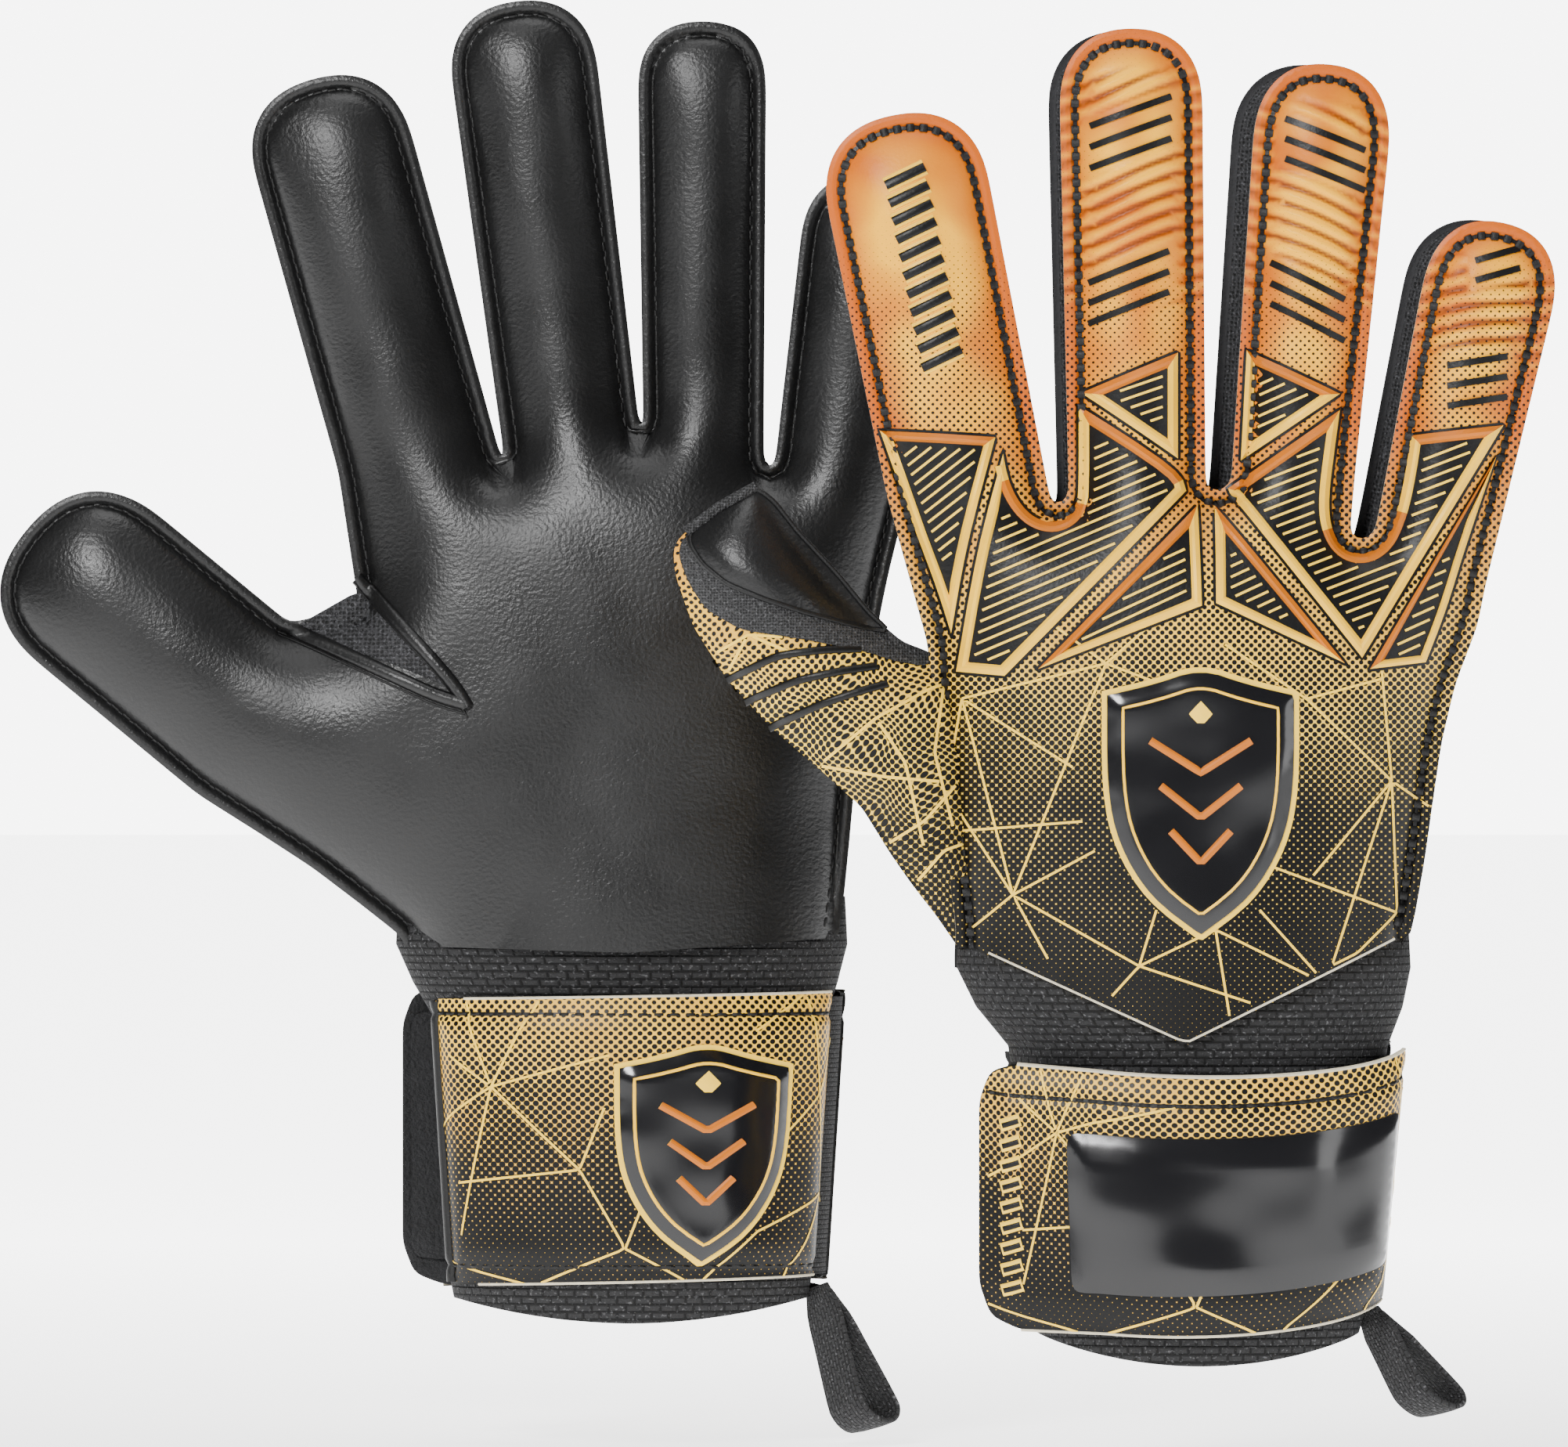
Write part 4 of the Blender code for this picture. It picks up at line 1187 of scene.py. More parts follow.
def finger_relief(sheet, x, z):
    """Slanted embossed waves over the fingers' backs, flat round the slits."""
    out = np.zeros(np.broadcast(x, z).shape)
    for name, slope in (("middle", 0.36), ("ring", -0.42), ("little", 0.15)):
        digit = next(d for d in sheet.glove.digits if d.name == name)
        along, beside = digit.coords(np.stack([x, z], axis=-1))
        within = np.clip((along - 32) / 4, 0, 1) * np.clip((digit.length - 7 - along) / 4, 0, 1)
        within = within * (np.abs(beside) < digit.half(along))
        phase = (z - slope * x) / RIDGE_PITCH + 0.15 * np.sin(x / 5)
        out = out + within * RIDGE_HEIGHT * np.sin(2 * np.pi * phase)
    for (xa, za), (xb, zb), fall in sheet.slits:
        share = (x - xa) / (xb - xa)
        line = za + share * (zb - za)
        beyond = np.maximum(z - line, line - fall - z) - 1.6
        aside = (np.abs(share - 0.5) - 0.6) * abs(xb - xa)
        out = out * np.clip(np.maximum(beyond, aside) / 1.5, 0, 1)
    return out


def eased(loop, turns=2):
    """A loop with its gentle bends cut finer and its sharp corners kept."""
    loop = np.asarray(loop, float)
    for _ in range(turns):
        before, after = np.roll(loop, 1, 0), np.roll(loop, -1, 0)
        (ax, az), (bx, bz) = (loop - before).T, (after - loop).T
        bend = np.abs(np.arctan2(ax * bz - az * bx, ax * bx + az * bz))
        finer = []
        for a, p, c, turn in zip(before, loop, after, bend):
            finer += [p + (a - p) * 0.25, p + (c - p) * 0.25] if 0.03 < turn < 0.8 else [p]
        loop = np.array(finer)
    return loop


def shield(trim, centre, width, height):
    """A plain generic shield with three chevrons."""
    loop = clockwise(eased(np.array(SHIELD) * (width, height) + centre))
    trim.fill(inset_polygon(loop, -1.1), "gold_line", 0.25, 0.0)
    trim.fill(loop, "gloss", 0.45, 1.1, 3.5)
    inner = inset_polygon(loop, width * 0.085)
    trim.ribbon(inner, 0.9, "gold_light", 1.2, 0.5, 0.5, closed=True)
    for k in range(3):
        top = centre[1] + height * (0.16 - 0.17 * k)
        half = width * (0.27 - 0.055 * k)
        arm = [(centre[0] - half, top + height * 0.07), (centre[0], top - height * 0.05),
               (centre[0] + half, top + height * 0.07)]
        trim.ribbon(arm, 2.6, "gold_line", 1.35, 0.25, 0.4)
        trim.ribbon(arm, 1.7, "gold_deep", 1.5, 0.5, 0.5)
    tip = np.array(centre) + (0, height * 0.33)
    trim.fill([tip + (0, 3), tip + (2.4, 0), tip + (0, -3), tip + (-2.4, 0)], "gold_line", 1.5, 0.3, 1.5)


# ---------------------------------------------------------------------------------- gloves


def strip_between(glove, palm_sheet, back_sheet):
    """The mesh cloth that joins the palm's edge to the back's, all round the fingers."""
    palm, back = palm_sheet.outline, back_sheet.outline
    keep = palm[:, 1] > 83.0
    palm, back = palm[keep], back[keep]
    inward_p, inward_b = normals_of(palm), normals_of(back)
    rows = []
    for t in np.linspace(0, 1, 7):
        sink = GUSSET_INSET + GUSSET_HOLLOW * math.sin(math.pi * t)
        plan = (palm + inward_p * sink) * (1 - t) + (back + inward_b * sink) * t
        rows.append((plan, (EDGE - 0.9) * (1 - 2 * t)))
    n = len(palm)
    plan = np.vstack([row for row, _ in rows])
    p = np.concatenate([np.full(n, level) for _, level in rows])
    verts = glove.world(plan[:, 0], plan[:, 1], p)
    faces = quads(n, len(rows))
    outward = -np.tile(inward_p, (7, 1))
    faces = turned_out(verts, faces, np.stack([outward[:, 0], 0 * outward[:, 0], outward[:, 1]], axis=1))
    along = np.concatenate([[0], np.cumsum(np.hypot(*np.diff(palm, axis=0).T))])
    uv = np.stack([np.tile(along, 7), p], axis=1)
    owner = palm_sheet.owners(plan[faces].mean(1))
    for k in np.unique(owner):
        used, index = np.unique(faces[owner == k], return_inverse=True)
        name = palm_sheet.name_of(k, "gusset_cloth")
        piece = add_mesh(name, verts[used], index.reshape(-1, 4), [MATERIALS["net"]], uv=uv[used])
        palm_sheet.attach(piece, k)
        centres = palm[:-1] + np.diff(palm, axis=0) / 2
        length = np.hypot(*np.diff(palm, axis=0).T)[palm_sheet.owners(centres + inward_p[:-1]
                                                                      * 3) == k].sum()
        if k:
            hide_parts(f"{glove.digits[k - 1].body}_gusset")
        else:
            sides = ("outer_side", "heel", "thumb_crotch")
            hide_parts(*[f"{glove.side}_{side}_gusset" for side in sides])


def palm_details(sheet):
    """Stitches round the palm latex, and the mesh triangle at the thumb's crotch."""
    glove, trim = sheet.glove, Trim(sheet)
    keep = sheet.outline[:, 1] > 82
    seam = sheet.outline[keep]
    seam = seam + normals_of(seam) * SEAM
    seam = seam[sheet.field.near(seam) > SEAM - 0.3]
    trim.stitches(seam, "thread", width=0.55, height=0.3, lift=0.15)
    if not glove.digits[0].rolled:
        triangle = rounded_loop([(-72.0, 146.0), (-57.0, 154.5), (-36.5, 133.5), (-50.0, 139.0)], 2, 1.3)
        trim.fill(triangle, "net", 0.15, 0.0, skirt=0.0)
        for arm in (((-74.0, 147.5), (-66.0, 144.0), (-52.0, 137.5), (-40.0, 132.0), (-34.6, 130.6)),
                    ((-57.5, 157.0), (-52.0, 151.0), (-42.0, 140.5), (-36.0, 133.5), (-34.0, 129.8))):
            trim.ribbon(smoothed(resample(arm, 2.0), 3), 3.0, "latex", 0.1, 1.3, 0.5)
            trim.ribbon(smoothed(resample(arm, 2.0), 3) + (0.0, -2.1), 0.5, "thread", 0.15, 0.25, 0.2)
    trim.make("palm_stitching", "latex")


def back_details(sheet, pattern):
    """The back's seam, printed frames, hatching, slits, network lines and shield."""
    glove, trim = sheet.glove, Trim(sheet)
    keep = sheet.outline[:, 1] > np.interp(sheet.outline[:, 0], *sheet.hem.T) + 1
    seam = sheet.outline[keep]
    seam = seam + normals_of(seam) * SEAM
    seam = seam[sheet.field.near(seam) > SEAM - 0.3]
    trim.ribbon(seam, 0.8, "ink", 0.25)
    trim.stitches(seam, "thread", pitch=2.7, length=2.1, width=1.6, height=0.7, lift=0.3)
    for loop, width, angle in FRAMES:
        loop = clockwise(eased(pattern(loop)))
        # the bevel's two golds are painted shade and painted light
        trim.bevel(loop, width, ("gold_deep", "gold_light"))
        trim.ribbon(inset_polygon(loop, -0.3), 0.6, "ink", 0.2, closed=True)
        trim.fill(inset_polygon(loop, width - 0.15), "ink", 0.12, skirt=0.0)
        trim.hatch(inset_polygon(loop, width + 0.6), angle, 1.95, 0.5, "gold_line")
    for start, end, count, gap in SLITS:
        for k in range(count):
            line = pattern([np.array(start) - (0, k * gap), np.array(end) - (0, k * gap)])
            trim.ribbon(line, 1.35, "ink", 0.36)
    index = glove.digits[1]
    for k in range(11):
        a = index.length * (0.33 + 0.05 * k)
        bar = [index.plan(a - 1.1, -4.3), index.plan(a + 1.1, 4.3)]
        trim.ribbon(bar, 3.4, "gold_light", 0.1, 0.5, 0.1)
        trim.ribbon(bar, 2.0, "ink", 0.62, 0.3, 0.5)
    for line in NETWORK:
        line = resample(pattern(line), 1.0)
        line = line[inside(line, sheet.outline)]
        line = line[line[:, 1] > np.interp(line[:, 0], *sheet.hem.T) + 1.5]
        if len(line) > 1:
            trim.ribbon(line, 0.5, "gold_line", 0.14)
    shield(trim, pattern([(0.0, 114.0)])[0], 38.0, 54.0)
    if not glove.digits[0].rolled:
        side = smoothed(resample(((-57.0, 153.0), (-53.0, 134.0), (-50.0, 112.0), (-46.0, 90.0)), 2.0), 3)
        trim.ribbon(side, 1.0, "ink", 0.12)
        trim.stitches(side, "thread", width=0.8, height=0.5, lift=0.2)
        thumb = glove.digits[0]
        for a in (5.0, 13.0, 21.0):
            groove = [thumb.plan(a, -15.0), thumb.plan(a + 4.0, -4.0), thumb.plan(a + 4.0, 6.0),
                      thumb.plan(a + 1.0, 14.0)]
            trim.ribbon(smoothed(resample(groove, 1.2), 4), 1.5, "thumb_knit", 0.1, 0.45, 0.2)
    hem = [(x, np.interp(x, *sheet.hem.T) + 0.5) for x in np.linspace(-43, 40, 40)]
    trim.ribbon(hem, 0.5, "foam_edge", 0.1, 0.2, 0.4)
    trim.make("back_pattern", "printed_foam")


def build_hand(glove, right):
    """The sheets, side strip and details of one glove's hand and fingers."""
    shown = {"middle": (2.2, 0.0), "ring": (4.2, 0.0), "little": (3.6, 0.0)}
    palm_line, back_line = hand_outline(glove, {}), hand_outline(glove, shown)
    palm_line, back_line = paired_resample(palm_line, back_line, OUTLINE_STEP)
    top = ((-95.0, 80.0), (-40.0, 79.5), (0.0, 78.4), (45.0, 81.5), (70.0, 82.0))
    palm = HandSheet(glove, 1, palm_line, top)
    source, target = landmarks(right), landmarks(glove)
    back = HandSheet(glove, -1, back_line, glove.hem, finger_relief)
    back.slits = [(*moved([start, end], source, target), (count - 1) * gap) for start, end, count,
                  gap in SLITS]
    sheets = ((palm, "palm_latex", "palm_latex", "palm_skin", PALM_THICK, "latex", "latex", "latex_edge"),
              (back, "back_foam", "backhand_panel", "back_skin", BACK_THICK, "printed_foam", "print_back",
               "foam_edge"))
    for sheet, digit_node, hand_node, label, thick, slot, face, rim in sheets:
        points, faces = sheet.shape()

        def nodes_for(k):
            return [f"{glove.digits[k - 1].body}_{digit_node}" if k else f"{glove.side}_{hand_node}"]

        def materials(k):
            shown_face = "print_thumb" if k == 1 and sheet is back else face
            return [MATERIALS[shown_face], MATERIALS[rim], MATERIALS["lining"]]

        crest = 0.5 + finger_relief(back, *points.T) / RIDGE_HEIGHT / 2
        depth = np.stack([sheet.field.read(sheet.field.depth, *points.T), crest], axis=1)
        shells(sheet, points, faces, 0.0, thick, label, materials, slot, nodes_for, depth)
    strip_between(glove, palm, back)
    palm_details(palm)
    back_details(back, lambda points: moved(points, source, target))


def tube(name, glove, rows, wall, material, body, nodes):
    """A knitted tube: rows are (height, centre, half width, half depth) or give them for each angle."""
    turn = np.radians(np.arange(0, 360, 3.0))
    n = len(turn)
    verts, uv = [], []
    for inner in (0.0, wall):
        for height, centre, half, depth in (rows if not inner else rows[::-1]):
            z = height(np.cos(turn), np.sin(turn)) if callable(height) else np.full(n, height)
            x = centre + (half - inner) * np.cos(turn)
            verts.append(glove.world(x, z, (depth - inner) * np.sin(turn)))
            uv.append(np.stack([np.degrees(turn) * 0.56, z], axis=1))
    faces = quads(n, len(verts), True, True)
    if glove.palm > 0:
        faces = faces[:, ::-1]
    piece = add_mesh(name, np.vstack(verts), faces, [MATERIALS[material]], uv=np.vstack(uv))
    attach(piece, body)
    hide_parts(*nodes)
    return piece


def build_wrist(glove):
    """The knit wrist, the elastic cuff and the lining."""
    side, hand = glove.side, glove.hand
    half = glove.cuff_half

    def low_edge(across, palmward):
        return 5.5 * across**2 + 0.8 * palmward

    cuff = [(low_edge, 0.0, half(0), CUFF_DEPTH)]
    cuff += [(z, 0.0, half(z) + 0.25 * math.sin(z), CUFF_DEPTH)
             for z in (9.0, 20.0, 32.0, 44.0, 56.0, 60.0)]
    tube(f"{side}_cuff_elastic", glove, cuff, 2.2, "knit", hand, [f"{side}_elastic_cuff"])
    palm = f"{side}_palm_latex"
    left, right = node_edge(palm, glove, 81.0)
    knit = [(57.0, 0.0, half(57) - 0.6, CUFF_DEPTH - 0.8), (64.0, 0.0, half(62), 18.6)]
    knit += [(72.0, (left + right) / 2 * 0.6, (right - left) / 2 - 0.8, 18.2),
             (80.0, (left + right) / 2, (right - left) / 2 + 2.0, 17.4),
             (90.0, (left + right) / 2, (right - left) / 2 + 1.5, 12.5)]
    tube(f"{side}_wrist_cloth", glove, knit, 1.6, "knit", hand, [f"{side}_wrist_knit"])
    lining = [(lambda c, s: low_edge(c, s) + 1.2, 0.0, half(0) - 2.4, CUFF_DEPTH - 2.4),
              (30.0, 0.0, half(30) - 2.6, CUFF_DEPTH - 2.6), (62.0, 0.0, half(62) - 2.4, 15.6),
              (84.0, 0.0, half(80) - 3.4, 13.6)]
    tube(f"{side}_cuff_inner", glove, lining, 0.8, "lining", hand, [f"{side}_cuff_lining"])


def strap_profile(near, thick, seams):
    """How far out a strap stands: thin at its edges and puffed between its stitch lines."""
    def lift(points):
        depth = near(points)
        puff = np.sin(np.clip((depth - 1.0) / 7.0, 0, 1) * np.pi / 2)
        groove = np.zeros(len(points))
        for line in seams:
            groove += 0.55 * np.exp(-((line(points) / 0.8) ** 2))
        return 1.1 + (thick - 1.1) * puff - groove
    return lift


def strap_panel(surface, loop, thick, label, materials, slot, nodes, seam_heights=(), step=1.5):
    """A padded panel of the strap: its piece, and the lift of its face for what is laid on it."""
    loop = clockwise(rounded_loop(loop, 2, 1.3))
    near = Near(loop, True)
    extra = rings_inside(loop, near, (0.8, 1.8, 3.0, 4.5), 1.3, True)
    grid = grid_inside(loop, step)
    grid = grid[near(grid) > 5.2]
    rows = []
    for z in seam_heights:
        for off in (-1.4, -0.7, 0.0, 0.7, 1.4):
            xs = np.arange(loop[:, 0].min(), loop[:, 0].max(), 1.4)
            rows.append(np.stack([xs, np.full(len(xs), z + off)], axis=1))
    if rows:
        rows = np.vstack(rows)
        rows = rows[inside(rows, loop)]
        rows = rows[near(rows) > 5.2]
        grid = grid[np.min([np.abs(grid[:, 1] - z) for z in seam_heights], axis=0) > 2.0]
        grid = np.vstack([grid, rows])
    points, faces = triangulate(loop, np.vstack([np.array(extra), grid]))
    lift = strap_profile(near, thick, [lambda q, z=z: q[:, 1] - z for z in seam_heights])
    surface.lift = lift
    shells(surface, points, faces, lift(points), lift(points), label,
           lambda k: [MATERIALS[m] for m in materials], slot, lambda k: nodes)
    return lift


class Raised(Surface):
    """A surface whose zero lift is another's face."""

    def __init__(self, base, lift):
        self.base, self.lift = base, lift
        self.glove = base.glove

    def place(self, points, lift):
        return self.base.place(points, self.lift(points) + lift)

    def outward(self, points):
        return self.base.outward(points)

    def name_of(self, k, label):
        return self.base.name_of(k, label)

    def attach(self, piece, owner):
        self.base.attach(piece, owner)


def near_level(loop, x, z):
    """The height nearest to z where a loop crosses x."""
    hits = []
    for (xa, za), (xb, zb) in zip(loop, np.roll(loop, -1, 0)):
        if (xa > x) != (xb > x):
            hits.append(za + (zb - za) * (x - xa) / (xb - xa))
    return min(hits, key=lambda hit: abs(hit - z))


def strap_details(surface, lift, loop, seams, crest, bars, label):
    """Stitches, network lines, a shield or bars, and a frayed pale edge on a strap panel."""
    trim = Trim(Raised(surface, lift))
    lo, hi = np.min(loop, axis=0), np.max(loop, axis=0)
    for z in seams:
        line = [(lo[0] + 1.5, z), (hi[0] - 1.5, z)]
        trim.ribbon(line, 0.8, "ink", 0.12)
        trim.stitches(line, "thread", width=0.75, height=0.5, lift=0.15)
    for line in STRAP_NETWORK:
        line = resample(line, 1.0)
        line = line[inside(line, clockwise(loop))]
        if len(line) > 3:
            trim.ribbon(line, 0.5, "gold_line", 0.12)
    if crest is not None:
        shield(trim, *crest)
    for x, z in bars:
        trim.ribbon([(x - 2.4, z - 0.8), (x + 2.4, z + 0.8)], 2.6, "gold_line", 0.15, 0.3, 0.2)
        trim.ribbon([(x - 2.0, z - 0.65), (x + 2.0, z + 0.65)], 1.1, "ink", 0.45, 0.15, 0.3)
    for z in (lo[1] + 0.6, hi[1] - 0.6):
        line = [(x, z) for x in np.linspace(lo[0] + 9, hi[0] - 1, 60)]
        shift = np.array([near_level(loop, x, z) for x, _ in line])
        trim.ribbon(np.stack([[x for x, _ in line], shift], axis=1), 0.6, "foam_edge", -0.1, 0.3, 0.5)
    trim.make(label, "printed_strap")


def build_strap(glove):
    """The strap base over the palm side, the flap over the back, and what is on them."""
    side, hand, body = glove.side, glove.hand, f"{glove.side}_strap"
    low, high = glove.strap
    base = Wrap(glove, (8.0, 165.0), 0.2, hand)
    a, b = base.span
    loop = [(a, low + 1), (b, low + 3), (b, high - 1), (a, high - 2.5)]
    seams = (high - 5.5, low + 5.0)
    lift = strap_panel(base, loop, STRAP_THICK, "strap_base_print", ("print_strap", "ink", "lining"),
                       "printed_strap", [f"{side}_strap_base"], seams)
    crest = ((14.5, (low + high) / 2 - 3.0), 33.0, 45.0) if side == "left" else ((-14.0, (low + high) / 2),
                                                                                 31.0, 40.0)
    strap_details(base, lift, loop, seams, crest, (), "strap_base_trim")
    binding = Trim(Raised(base, lift))
    binding.ribbon([(a + 0.8, low + 1.5), (a + 0.8, high - 3)], 2.4, "thread", 0.2, 0.9, 0.8)
    binding.make("strap_binding", "webbing")

    flap = Wrap(glove, (-8.0, -120.0), 3.0, body, glove.flap_end)
    a, b = flap.span
    loop = [(a, low + 9), (a + 2.5, low + 2.5), (a + 9, low), (b, low + 2), (b, high - 1), (a + 9, high),
            (a + 2.5, high - 2),
            (a, high - 8)]
    seams = (high - 6.0,)
    lift = strap_panel(flap, loop, STRAP_THICK, "strap_flap_print", ("print_strap", "ink", "fleece"),
                       "printed_strap", [f"{side}_strap_flap"], seams)
    bars = [(a + 7.5, z) for z in np.arange(low + 9, high - 10, 4.2)]
    strap_details(flap, lift, loop, seams, None, bars, "strap_flap_trim")

    raised = Raised(flap, lift)
    panel = [(-25.0, low + 9), (b - 4, low + 11), (b - 4, high - 12), (-25.0, high - 12.5)]
    panel = clockwise(rounded_loop(panel, 3, 1.4))
    near = Near(panel, True)
    extra = rings_inside(panel, near, (0.7, 1.5, 2.6), 1.4, True)
    grid = grid_inside(panel, 1.6)
    points, faces = triangulate(panel, np.vstack([np.array(extra), grid[near(grid) > 3.4]]))
    depth = near(points)
    swell = 0.3 + 1.1 * np.sin(np.clip(depth / 6, 0, 1) * np.pi / 2)
    swell = swell + 0.35 * np.sin(points[:, 0] / 5.5 + points[:, 1] / 9) * np.clip(depth / 6, 0, 1)
    shells(raised, points, faces, swell, swell, "grip_gloss",
           lambda k: [MATERIALS[m] for m in ("gloss", "latex_edge", "lining")],
           "gloss", lambda k: [f"{side}_grip_panel"])

    hook = [(flap.span[0] + 2, low + 6), (flap.span[0] + 26, low + 4), (flap.span[0] + 26, high - 4),
            (flap.span[0] + 2, high - 6)]
    hook = clockwise(rounded_loop(hook, 3, 1.4))
    points, faces = triangulate(hook, grid_inside(hook,
                                                  1.4)[Near(hook, True)(grid_inside(hook, 1.4)) > 0.9])
    rng = np.random.default_rng(3)
    fuzz = -0.15 - 0.25 * rng.random(len(points))
    shells(flap, points, faces, 0.0, 1.1 + fuzz, "hook_fuzz", lambda k: [MATERIALS["fleece"]] * 3, "fleece",
           lambda k: [f"{side}_hook_patch"])
    patch = Wrap(glove, (-70.0, -140.0), 0.15, hand)
    loop = [(patch.span[0], low + 5), (patch.span[1], low + 5), (patch.span[1], 56.0),
            (patch.span[0], 56.0)]
    loop = clockwise(rounded_loop(loop, 2, 1.4))
    points, faces = triangulate(loop, grid_inside(loop,
                                                  1.5)[Near(loop, True)(grid_inside(loop, 1.5)) > 0.9])
    shells(patch, points, faces, 1.0 + 0.2 * rng.random(len(points)), 0.9, "loop_fleece",
           lambda k: [MATERIALS["fleece"]] * 3,
           "fleece", lambda k: [f"{side}_loop_patch"])

    fold = Wrap(glove, (12.0, -12.0), 0.4, hand)
    points = np.array([(u, z) for z in np.linspace(low + 3, high - 2, 24)
                       for u in np.linspace(*fold.span, 15)])
    points[:, 0] = np.tile(np.linspace(0, 1, 15), 24)
    angle = 12.0 - 24.0 * points[:, 0]
    out = 1.0 + 3.0 * points[:, 0]
    verts = []
    for layer in (out, out - 0.9):
        x, p = fold.ring(angle, points[:, 1], layer)
        verts.append(glove.world(x, points[:, 1], p))
    steps = np.array([r * 15 + c for r in range(23) for c in range(14)])
    quads = np.stack([steps, steps + 1, steps + 16, steps + 15], axis=1)
    n = len(points)
    piece = add_mesh(f"{side}_strap_fold", np.vstack(verts), np.vstack([quads, quads[:, ::-1] + n]),
                     [MATERIALS["webbing"]],
                     uv=np.vstack([points * (16, 1)] * 2))
    start, end = (glove.world(*fold.ring(np.array(t), high / 2, 3.0)[:1], high / 2,
                              fold.ring(np.array(t), high / 2, 3.0)[1])
                  for t in (9.0, -9.0))
    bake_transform(piece)
    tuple(start)
    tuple(end)


def build_pull_loop(glove):
    """Webbing folded into a loop at the cuff's little-finger side."""
    joint = next(j for j in frame["joints"] if j["child"] == f"{glove.side}_pull_loop")
    x, z, _ = glove.local(joint["pos_m"])[0]
    low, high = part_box(f"{glove.side}_pull_loop")
    end = glove.local([(low.x + high.x) / 2 + (high.x - low.x) * 0.12, glove.origin[1], low.z])[0]
    top = np.array([x + LOOP_SEAM[0], z + LOOP_SEAM[1]])
    down = np.array([end[0] - top[0], end[1] + 7.0 - top[1]])
    reach = np.hypot(*down)
    down = down / reach
    turn = np.linspace(-0.5 * np.pi + 0.35, 1.5 * np.pi - 0.35, 40)
    along = np.where(np.sin(turn) > 0, reach + LOOP_ROUND * np.sin(turn),
                     reach * (1 + np.sin(turn)) ** 0.75)
    swing = LOOP_ROUND * np.cos(turn) * np.clip(along / reach, 0.12, 1)
    lean = math.radians(LOOP_LEAN)
    side3 = np.array([math.cos(lean), math.sin(lean), 0.0])
    wide3 = np.array([-math.sin(lean), math.cos(lean), 0.0])
    down3 = np.array([down[0], 0.0, down[1]])
    start = glove.world(top[0], top[1], 0.0)
    path = start + (along[:, None] * down3 + swing[:, None] * side3) * MM
    twist = 0.35 * np.sin(turn * 0.5)
    width = wide3 * np.cos(twist)[:, None] + down3 * np.sin(twist)[:, None]
    run = np.gradient(path, axis=0)
    run /= np.linalg.norm(run, axis=1)[:, None]
    out = np.cross(run, width)
    out /= np.linalg.norm(out, axis=1)[:, None]
    section = [(-5.4, -0.5), (-5.6, 0.0), (-5.4, 0.5), (-2.6, 0.75), (0.0, 0.8), (2.6, 0.75), (5.4, 0.5),
               (5.6, 0.0), (5.4, -0.5),
               (2.6, -0.75), (0.0, -0.8), (-2.6, -0.75)]
    m = len(section)
    gather = np.interp(along, (along.min(), along.min() + LOOP_PINCH[1]), (LOOP_PINCH[0], 1.0))[:, None]
    verts = np.concatenate([path + (width * gather * w + out * h) * MM for w, h in section])
    n = len(path)
    faces = quads(n, m, False, True)
    caps = [[r * n for r in range(m)][::-1], [r * n + n - 1 for r in range(m)]]
    length = np.concatenate([[0], np.cumsum(np.linalg.norm(np.diff(path, axis=0), axis=1))]) / MM
    uv = np.concatenate([np.stack([length, np.full(n, w)], axis=1) for w, _ in section])
    piece = add_mesh(f"{glove.side}_loop_webbing", verts, faces.tolist() + caps, [MATERIALS["webbing"]],
                     uv=uv)
    held, free = (start + down3 * reached * MM for reached in LOOP_BEND)
    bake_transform(piece)
    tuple(held)
    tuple(free)
    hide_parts(f"{glove.side}_pull_loop")


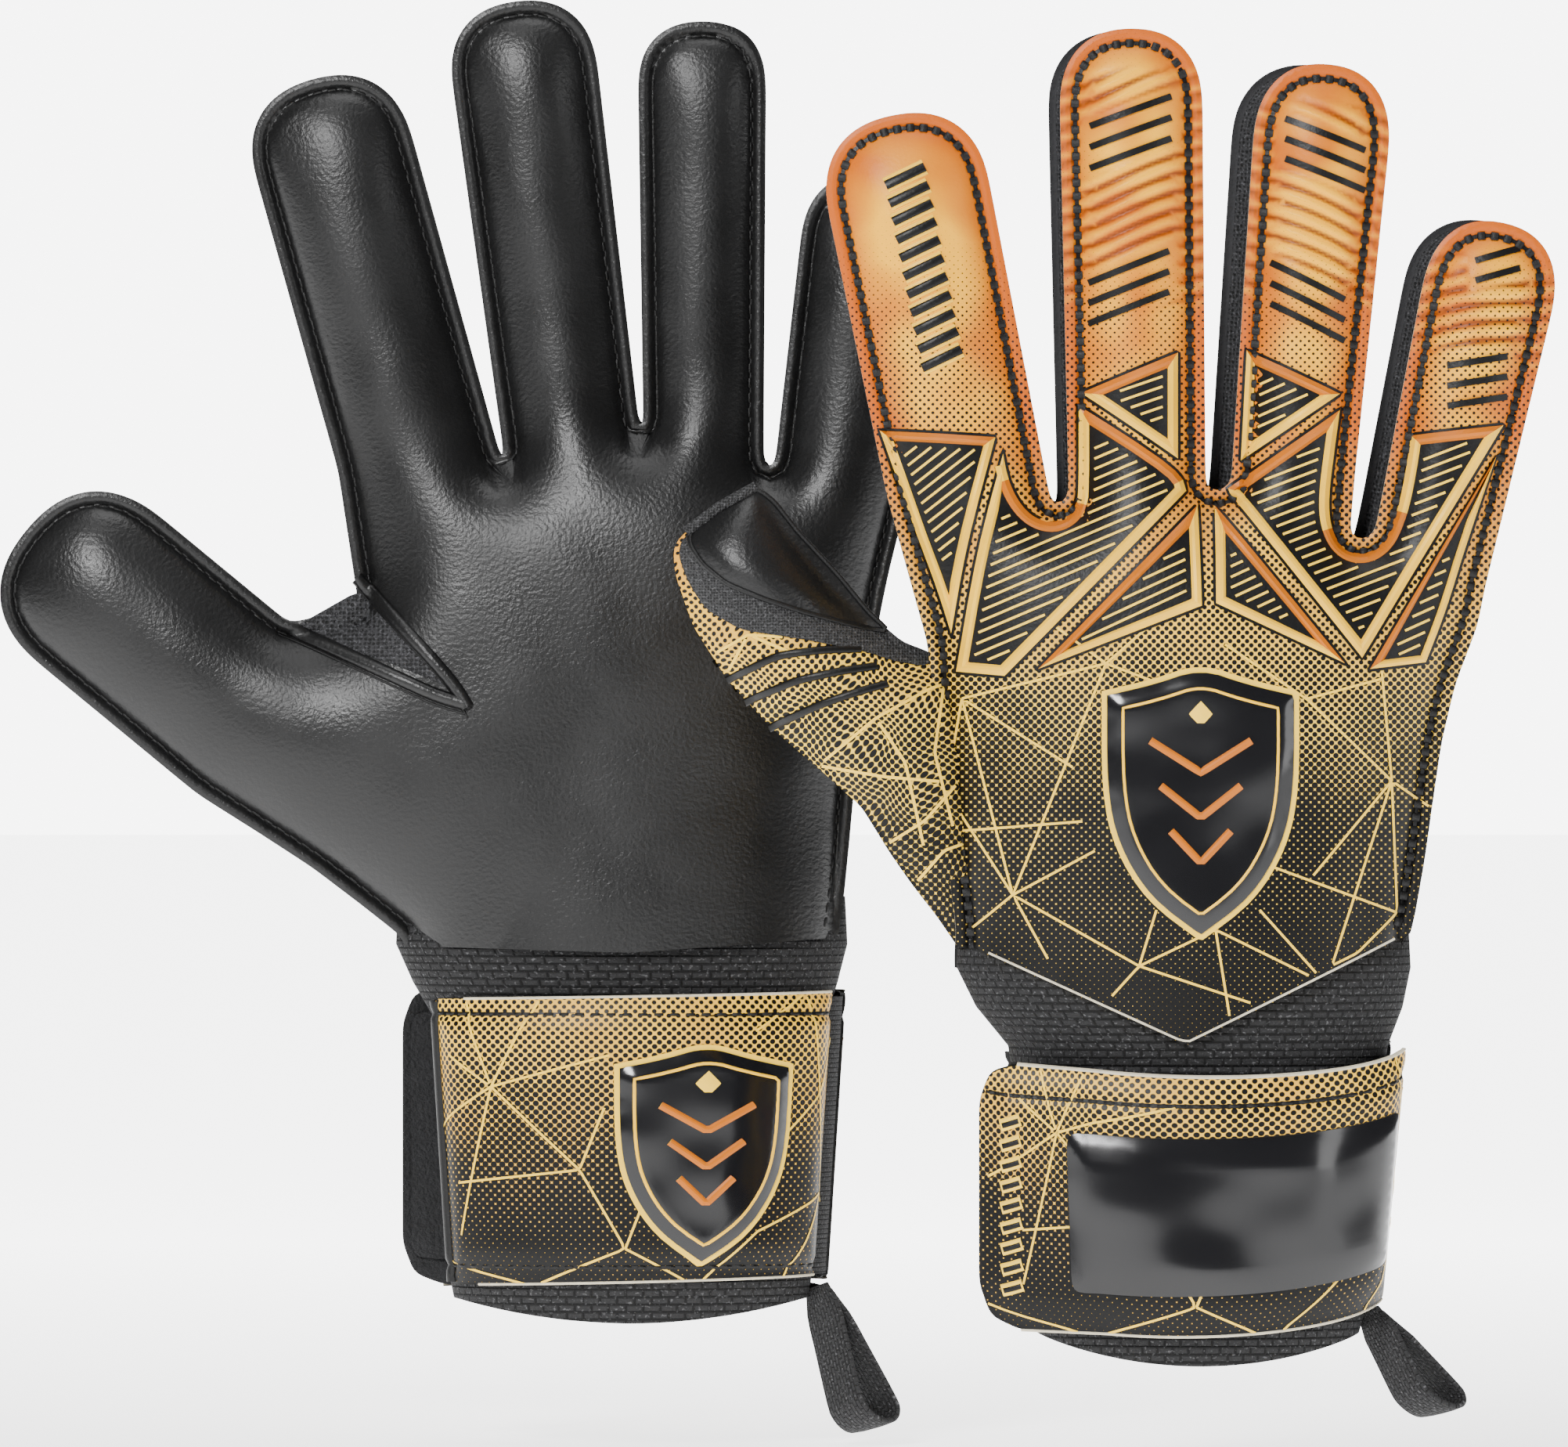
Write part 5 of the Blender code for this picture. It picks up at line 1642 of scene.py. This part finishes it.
def build_rolled_thumb(glove):
    """The right thumb, turned so that its latex pad, knit strip and printed side all show."""
    outline = [(-40.0, 80.0), (-47.0, 81.0), (-53.5, 90.5), (-58.5, 96.9), (-63.0, 103.3), (-68.9, 112.9),
               (-76.9, 120.1),
               (-87.3, 129.0), (-96.1, 138.6), (-103.3, 149.8), (-107.0, 160.5), (-107.4, 166.0),
               (-105.5, 168.6),
               (-92.5, 177.9), (-90.0, 177.0), (-84.5, 168.8), (-75.3, 157.8), (-66.0, 149.2),
               (-59.0, 145.6),
               (-53.0, 144.0), (-47.0, 138.0), (-44.0, 120.0), (-42.0, 100.0)]
    outline = clockwise(rounded_loop(outline, 2, 1.3))
    for face, label, nodes in ((-1, "thumb_front", ("thumb_palm_latex", "thumb_gusset")),
                               (1, "thumb_rear", ("thumb_back_foam",))):
        surface = Thumb(glove, face, outline)
        extra = rings_inside(outline, surface.field.near, (0.6, 1.3, 2.2, 3.4), 1.3, True)
        grid = grid_inside(outline, 1.4)
        points, faces = triangulate(outline,
                                    np.vstack([np.array(extra), grid[surface.field.near(grid) > 4.2]]))
        printed = MATERIALS["print_thumb"]
        shells(surface, points, faces, 0.0, 0.85, label, lambda k: [printed, printed, MATERIALS["lining"]],
               "mesh",
               lambda k: [f"{glove.side}_{n}" for n in nodes])
        trim = Trim(surface)
        if face < 0:
            strip = [(-105.6, 167.8), (-104.6, 168.3), (-89.3, 176.5), (-82.7, 169.5), (-74.2, 160.5),
                     (-68.0, 153.0), (-60.5, 146.6),
                     (-54.0, 144.2), (-55.0, 141.5), (-62.0, 142.6), (-68.0, 144.6), (-80.3, 147.0),
                     (-93.4, 149.0), (-100.7, 153.2),
                     (-104.0, 158.2), (-106.4, 164.3)]
            trim.fill(rounded_loop(strip, 1, 1.4), "thumb_knit", 0.35, 0.35, 2.0, 0.6)
            pad = [(-103.6, 170.0), (-90.6, 178.2), (-86.8, 175.4), (-82.0, 169.2), (-73.6, 160.2),
                   (-67.4, 152.6), (-63.0, 148.6),
                   (-72.1, 150.5), (-80.3, 152.6), (-88.5, 155.2), (-96.6, 158.5), (-101.6, 162.6),
                   (-104.4, 167.0)]
            pad = rounded_loop(pad, 1, 1.2)
            trim.fill(pad, "latex", 0.8, 1.4, 5.0, 0.9)
            trim.ribbon(clockwise(pad), 1.1, "thread", 0.9, 0.5, 0.5, closed=True)
            trim.ribbon([(-104.8, 169.0), (-98.0, 174.2), (-90.4, 178.4)], 2.2, "thumb_knit", 0.9, 1.1, 0.6)
            grooves = (((-96.4, 138.7), (-86.0, 143.8), (-76.2, 145.0), (-68.9, 145.2)),
                       ((-92.7, 134.2), (-82.7, 138.5), (-73.8, 140.5), (-65.6, 141.7)),
                       ((-87.8, 128.9), (-77.8, 133.6), (-69.7, 136.4), (-63.5, 138.1)))
        else:
            grooves = (((-99.0, 142.0), (-90.0, 147.5), (-80.0, 151.0)),
                       ((-95.0, 137.0), (-86.0, 142.0), (-75.0, 146.0)),
                       ((-90.0, 132.0), (-80.0, 137.0), (-70.0, 141.0)))
        for groove in grooves:
            trim.ribbon(smoothed(resample(groove, 1.2), 4), 1.7, "ink", 0.1, 0.5, 0.2)
        for line in THUMB_NETWORK:
            line = resample(line, 1.0)
            line = line[inside(line, outline)]
            trim.ribbon(line[1:-1], 0.6, "gold_line", 0.12)
        trim.make(f"{'pad' if face < 0 else 'rear'}_trim", "latex")


# ---------------------------------------------------------------------------------- camera and light


def make_camera():
    """The photograph's straight view of the pair, from a distance."""
    data = bpy.data.cameras.new("camera")
    data.sensor_width = 36.0
    distance = 3.09
    data.lens = data.sensor_width * distance / 0.3305
    camera = bpy.data.objects.new("camera", data)
    camera.location = (0.0323, -distance, 0.1264)
    camera.rotation_euler = (math.pi / 2, 0, 0)
    data.clip_end = 20
    bpy.context.scene.collection.objects.link(camera)
    bpy.context.scene.camera = camera


def area_light(name, place, aim, size, power):
    data = bpy.data.lights.new(name, "AREA")
    data.shape = "RECTANGLE"
    data.size, data.size_y = size
    data.energy = power
    light = bpy.data.objects.new(name, data)
    light.location = place
    light.rotation_euler = (Vector(aim) - Vector(place)).to_track_quat("-Z", "Y").to_euler()
    bpy.context.scene.collection.objects.link(light)


def make_studio():
    """A pale floor, soft lights, and a room with a bright far wall."""
    world = bpy.data.worlds.new("studio")
    world.use_nodes = True
    tree = world.node_tree
    background = tree.nodes["Background"]
    background.inputs["Color"].default_value = (1, 1, 1, 1)
    where = tree.nodes.new("ShaderNodeTexCoord")
    split = tree.nodes.new("ShaderNodeSeparateXYZ")
    tree.links.new(where.outputs["Generated"], split.inputs[0])
    level = tree.nodes.new("ShaderNodeMapRange")
    for key, value in zip(("From Min", "From Max", "To Min", "To Max"), ROOM_EDGE + ROOM_LEVEL):
        level.inputs[key].default_value = value
    tree.links.new(split.outputs[1], level.inputs["Value"])
    tree.links.new(level.outputs[0], background.inputs["Strength"])
    bpy.context.scene.world = world
    middle = (0.03, -0.04, 0.13)
    area_light("key", (-0.5, -1.4, 0.95), middle, (0.35, 0.5), 33)
    area_light("fill", (1.3, -1.0, 0.3), middle, (0.4, 1.0), 6)
    area_light("top", (0.1, -0.1, 1.5), middle, (1.2, 0.8), 12)
    area_light("back", (0.3, 1.3, 0.9), middle, (0.8, 0.8), 5)
    low = CAD_BOX[0].z - FLOOR_GAP
    corners = ((0, 0), (1, 0), (1, 1), (0, 1))
    verts = [((2 * u - 1) * FLOOR_HALF, (2 * v - 1) * FLOOR_HALF, low) for u, v in corners]
    floor = add_mesh("floor", verts, [(0, 1, 2, 3)], [make_floor()], uv=list(corners))


def make_floor():
    g = Graph("floor", 0.8, 0.2)
    plan = g.plan()
    g.colour(g.mix(g.noise(plan, 3.0), (0.90, 0.90, 0.90), (0.93, 0.93, 0.93)))
    g.put(g.shader, "Emission Color", (1.0, 1.0, 1.0))
    g.put(g.shader, "Emission Strength", g.step(g.parts(plan)[1], *FLOOR_EDGE, *FLOOR_LEVEL))
    return g.material


make_camera()
make_studio()
GLOVES = {side: Glove(side) for side in ("left", "right")}
for glove in GLOVES.values():
    build_hand(glove, GLOVES["right"])
    build_wrist(glove)
    build_strap(glove)
    build_pull_loop(glove)
build_rolled_thumb(GLOVES["right"])
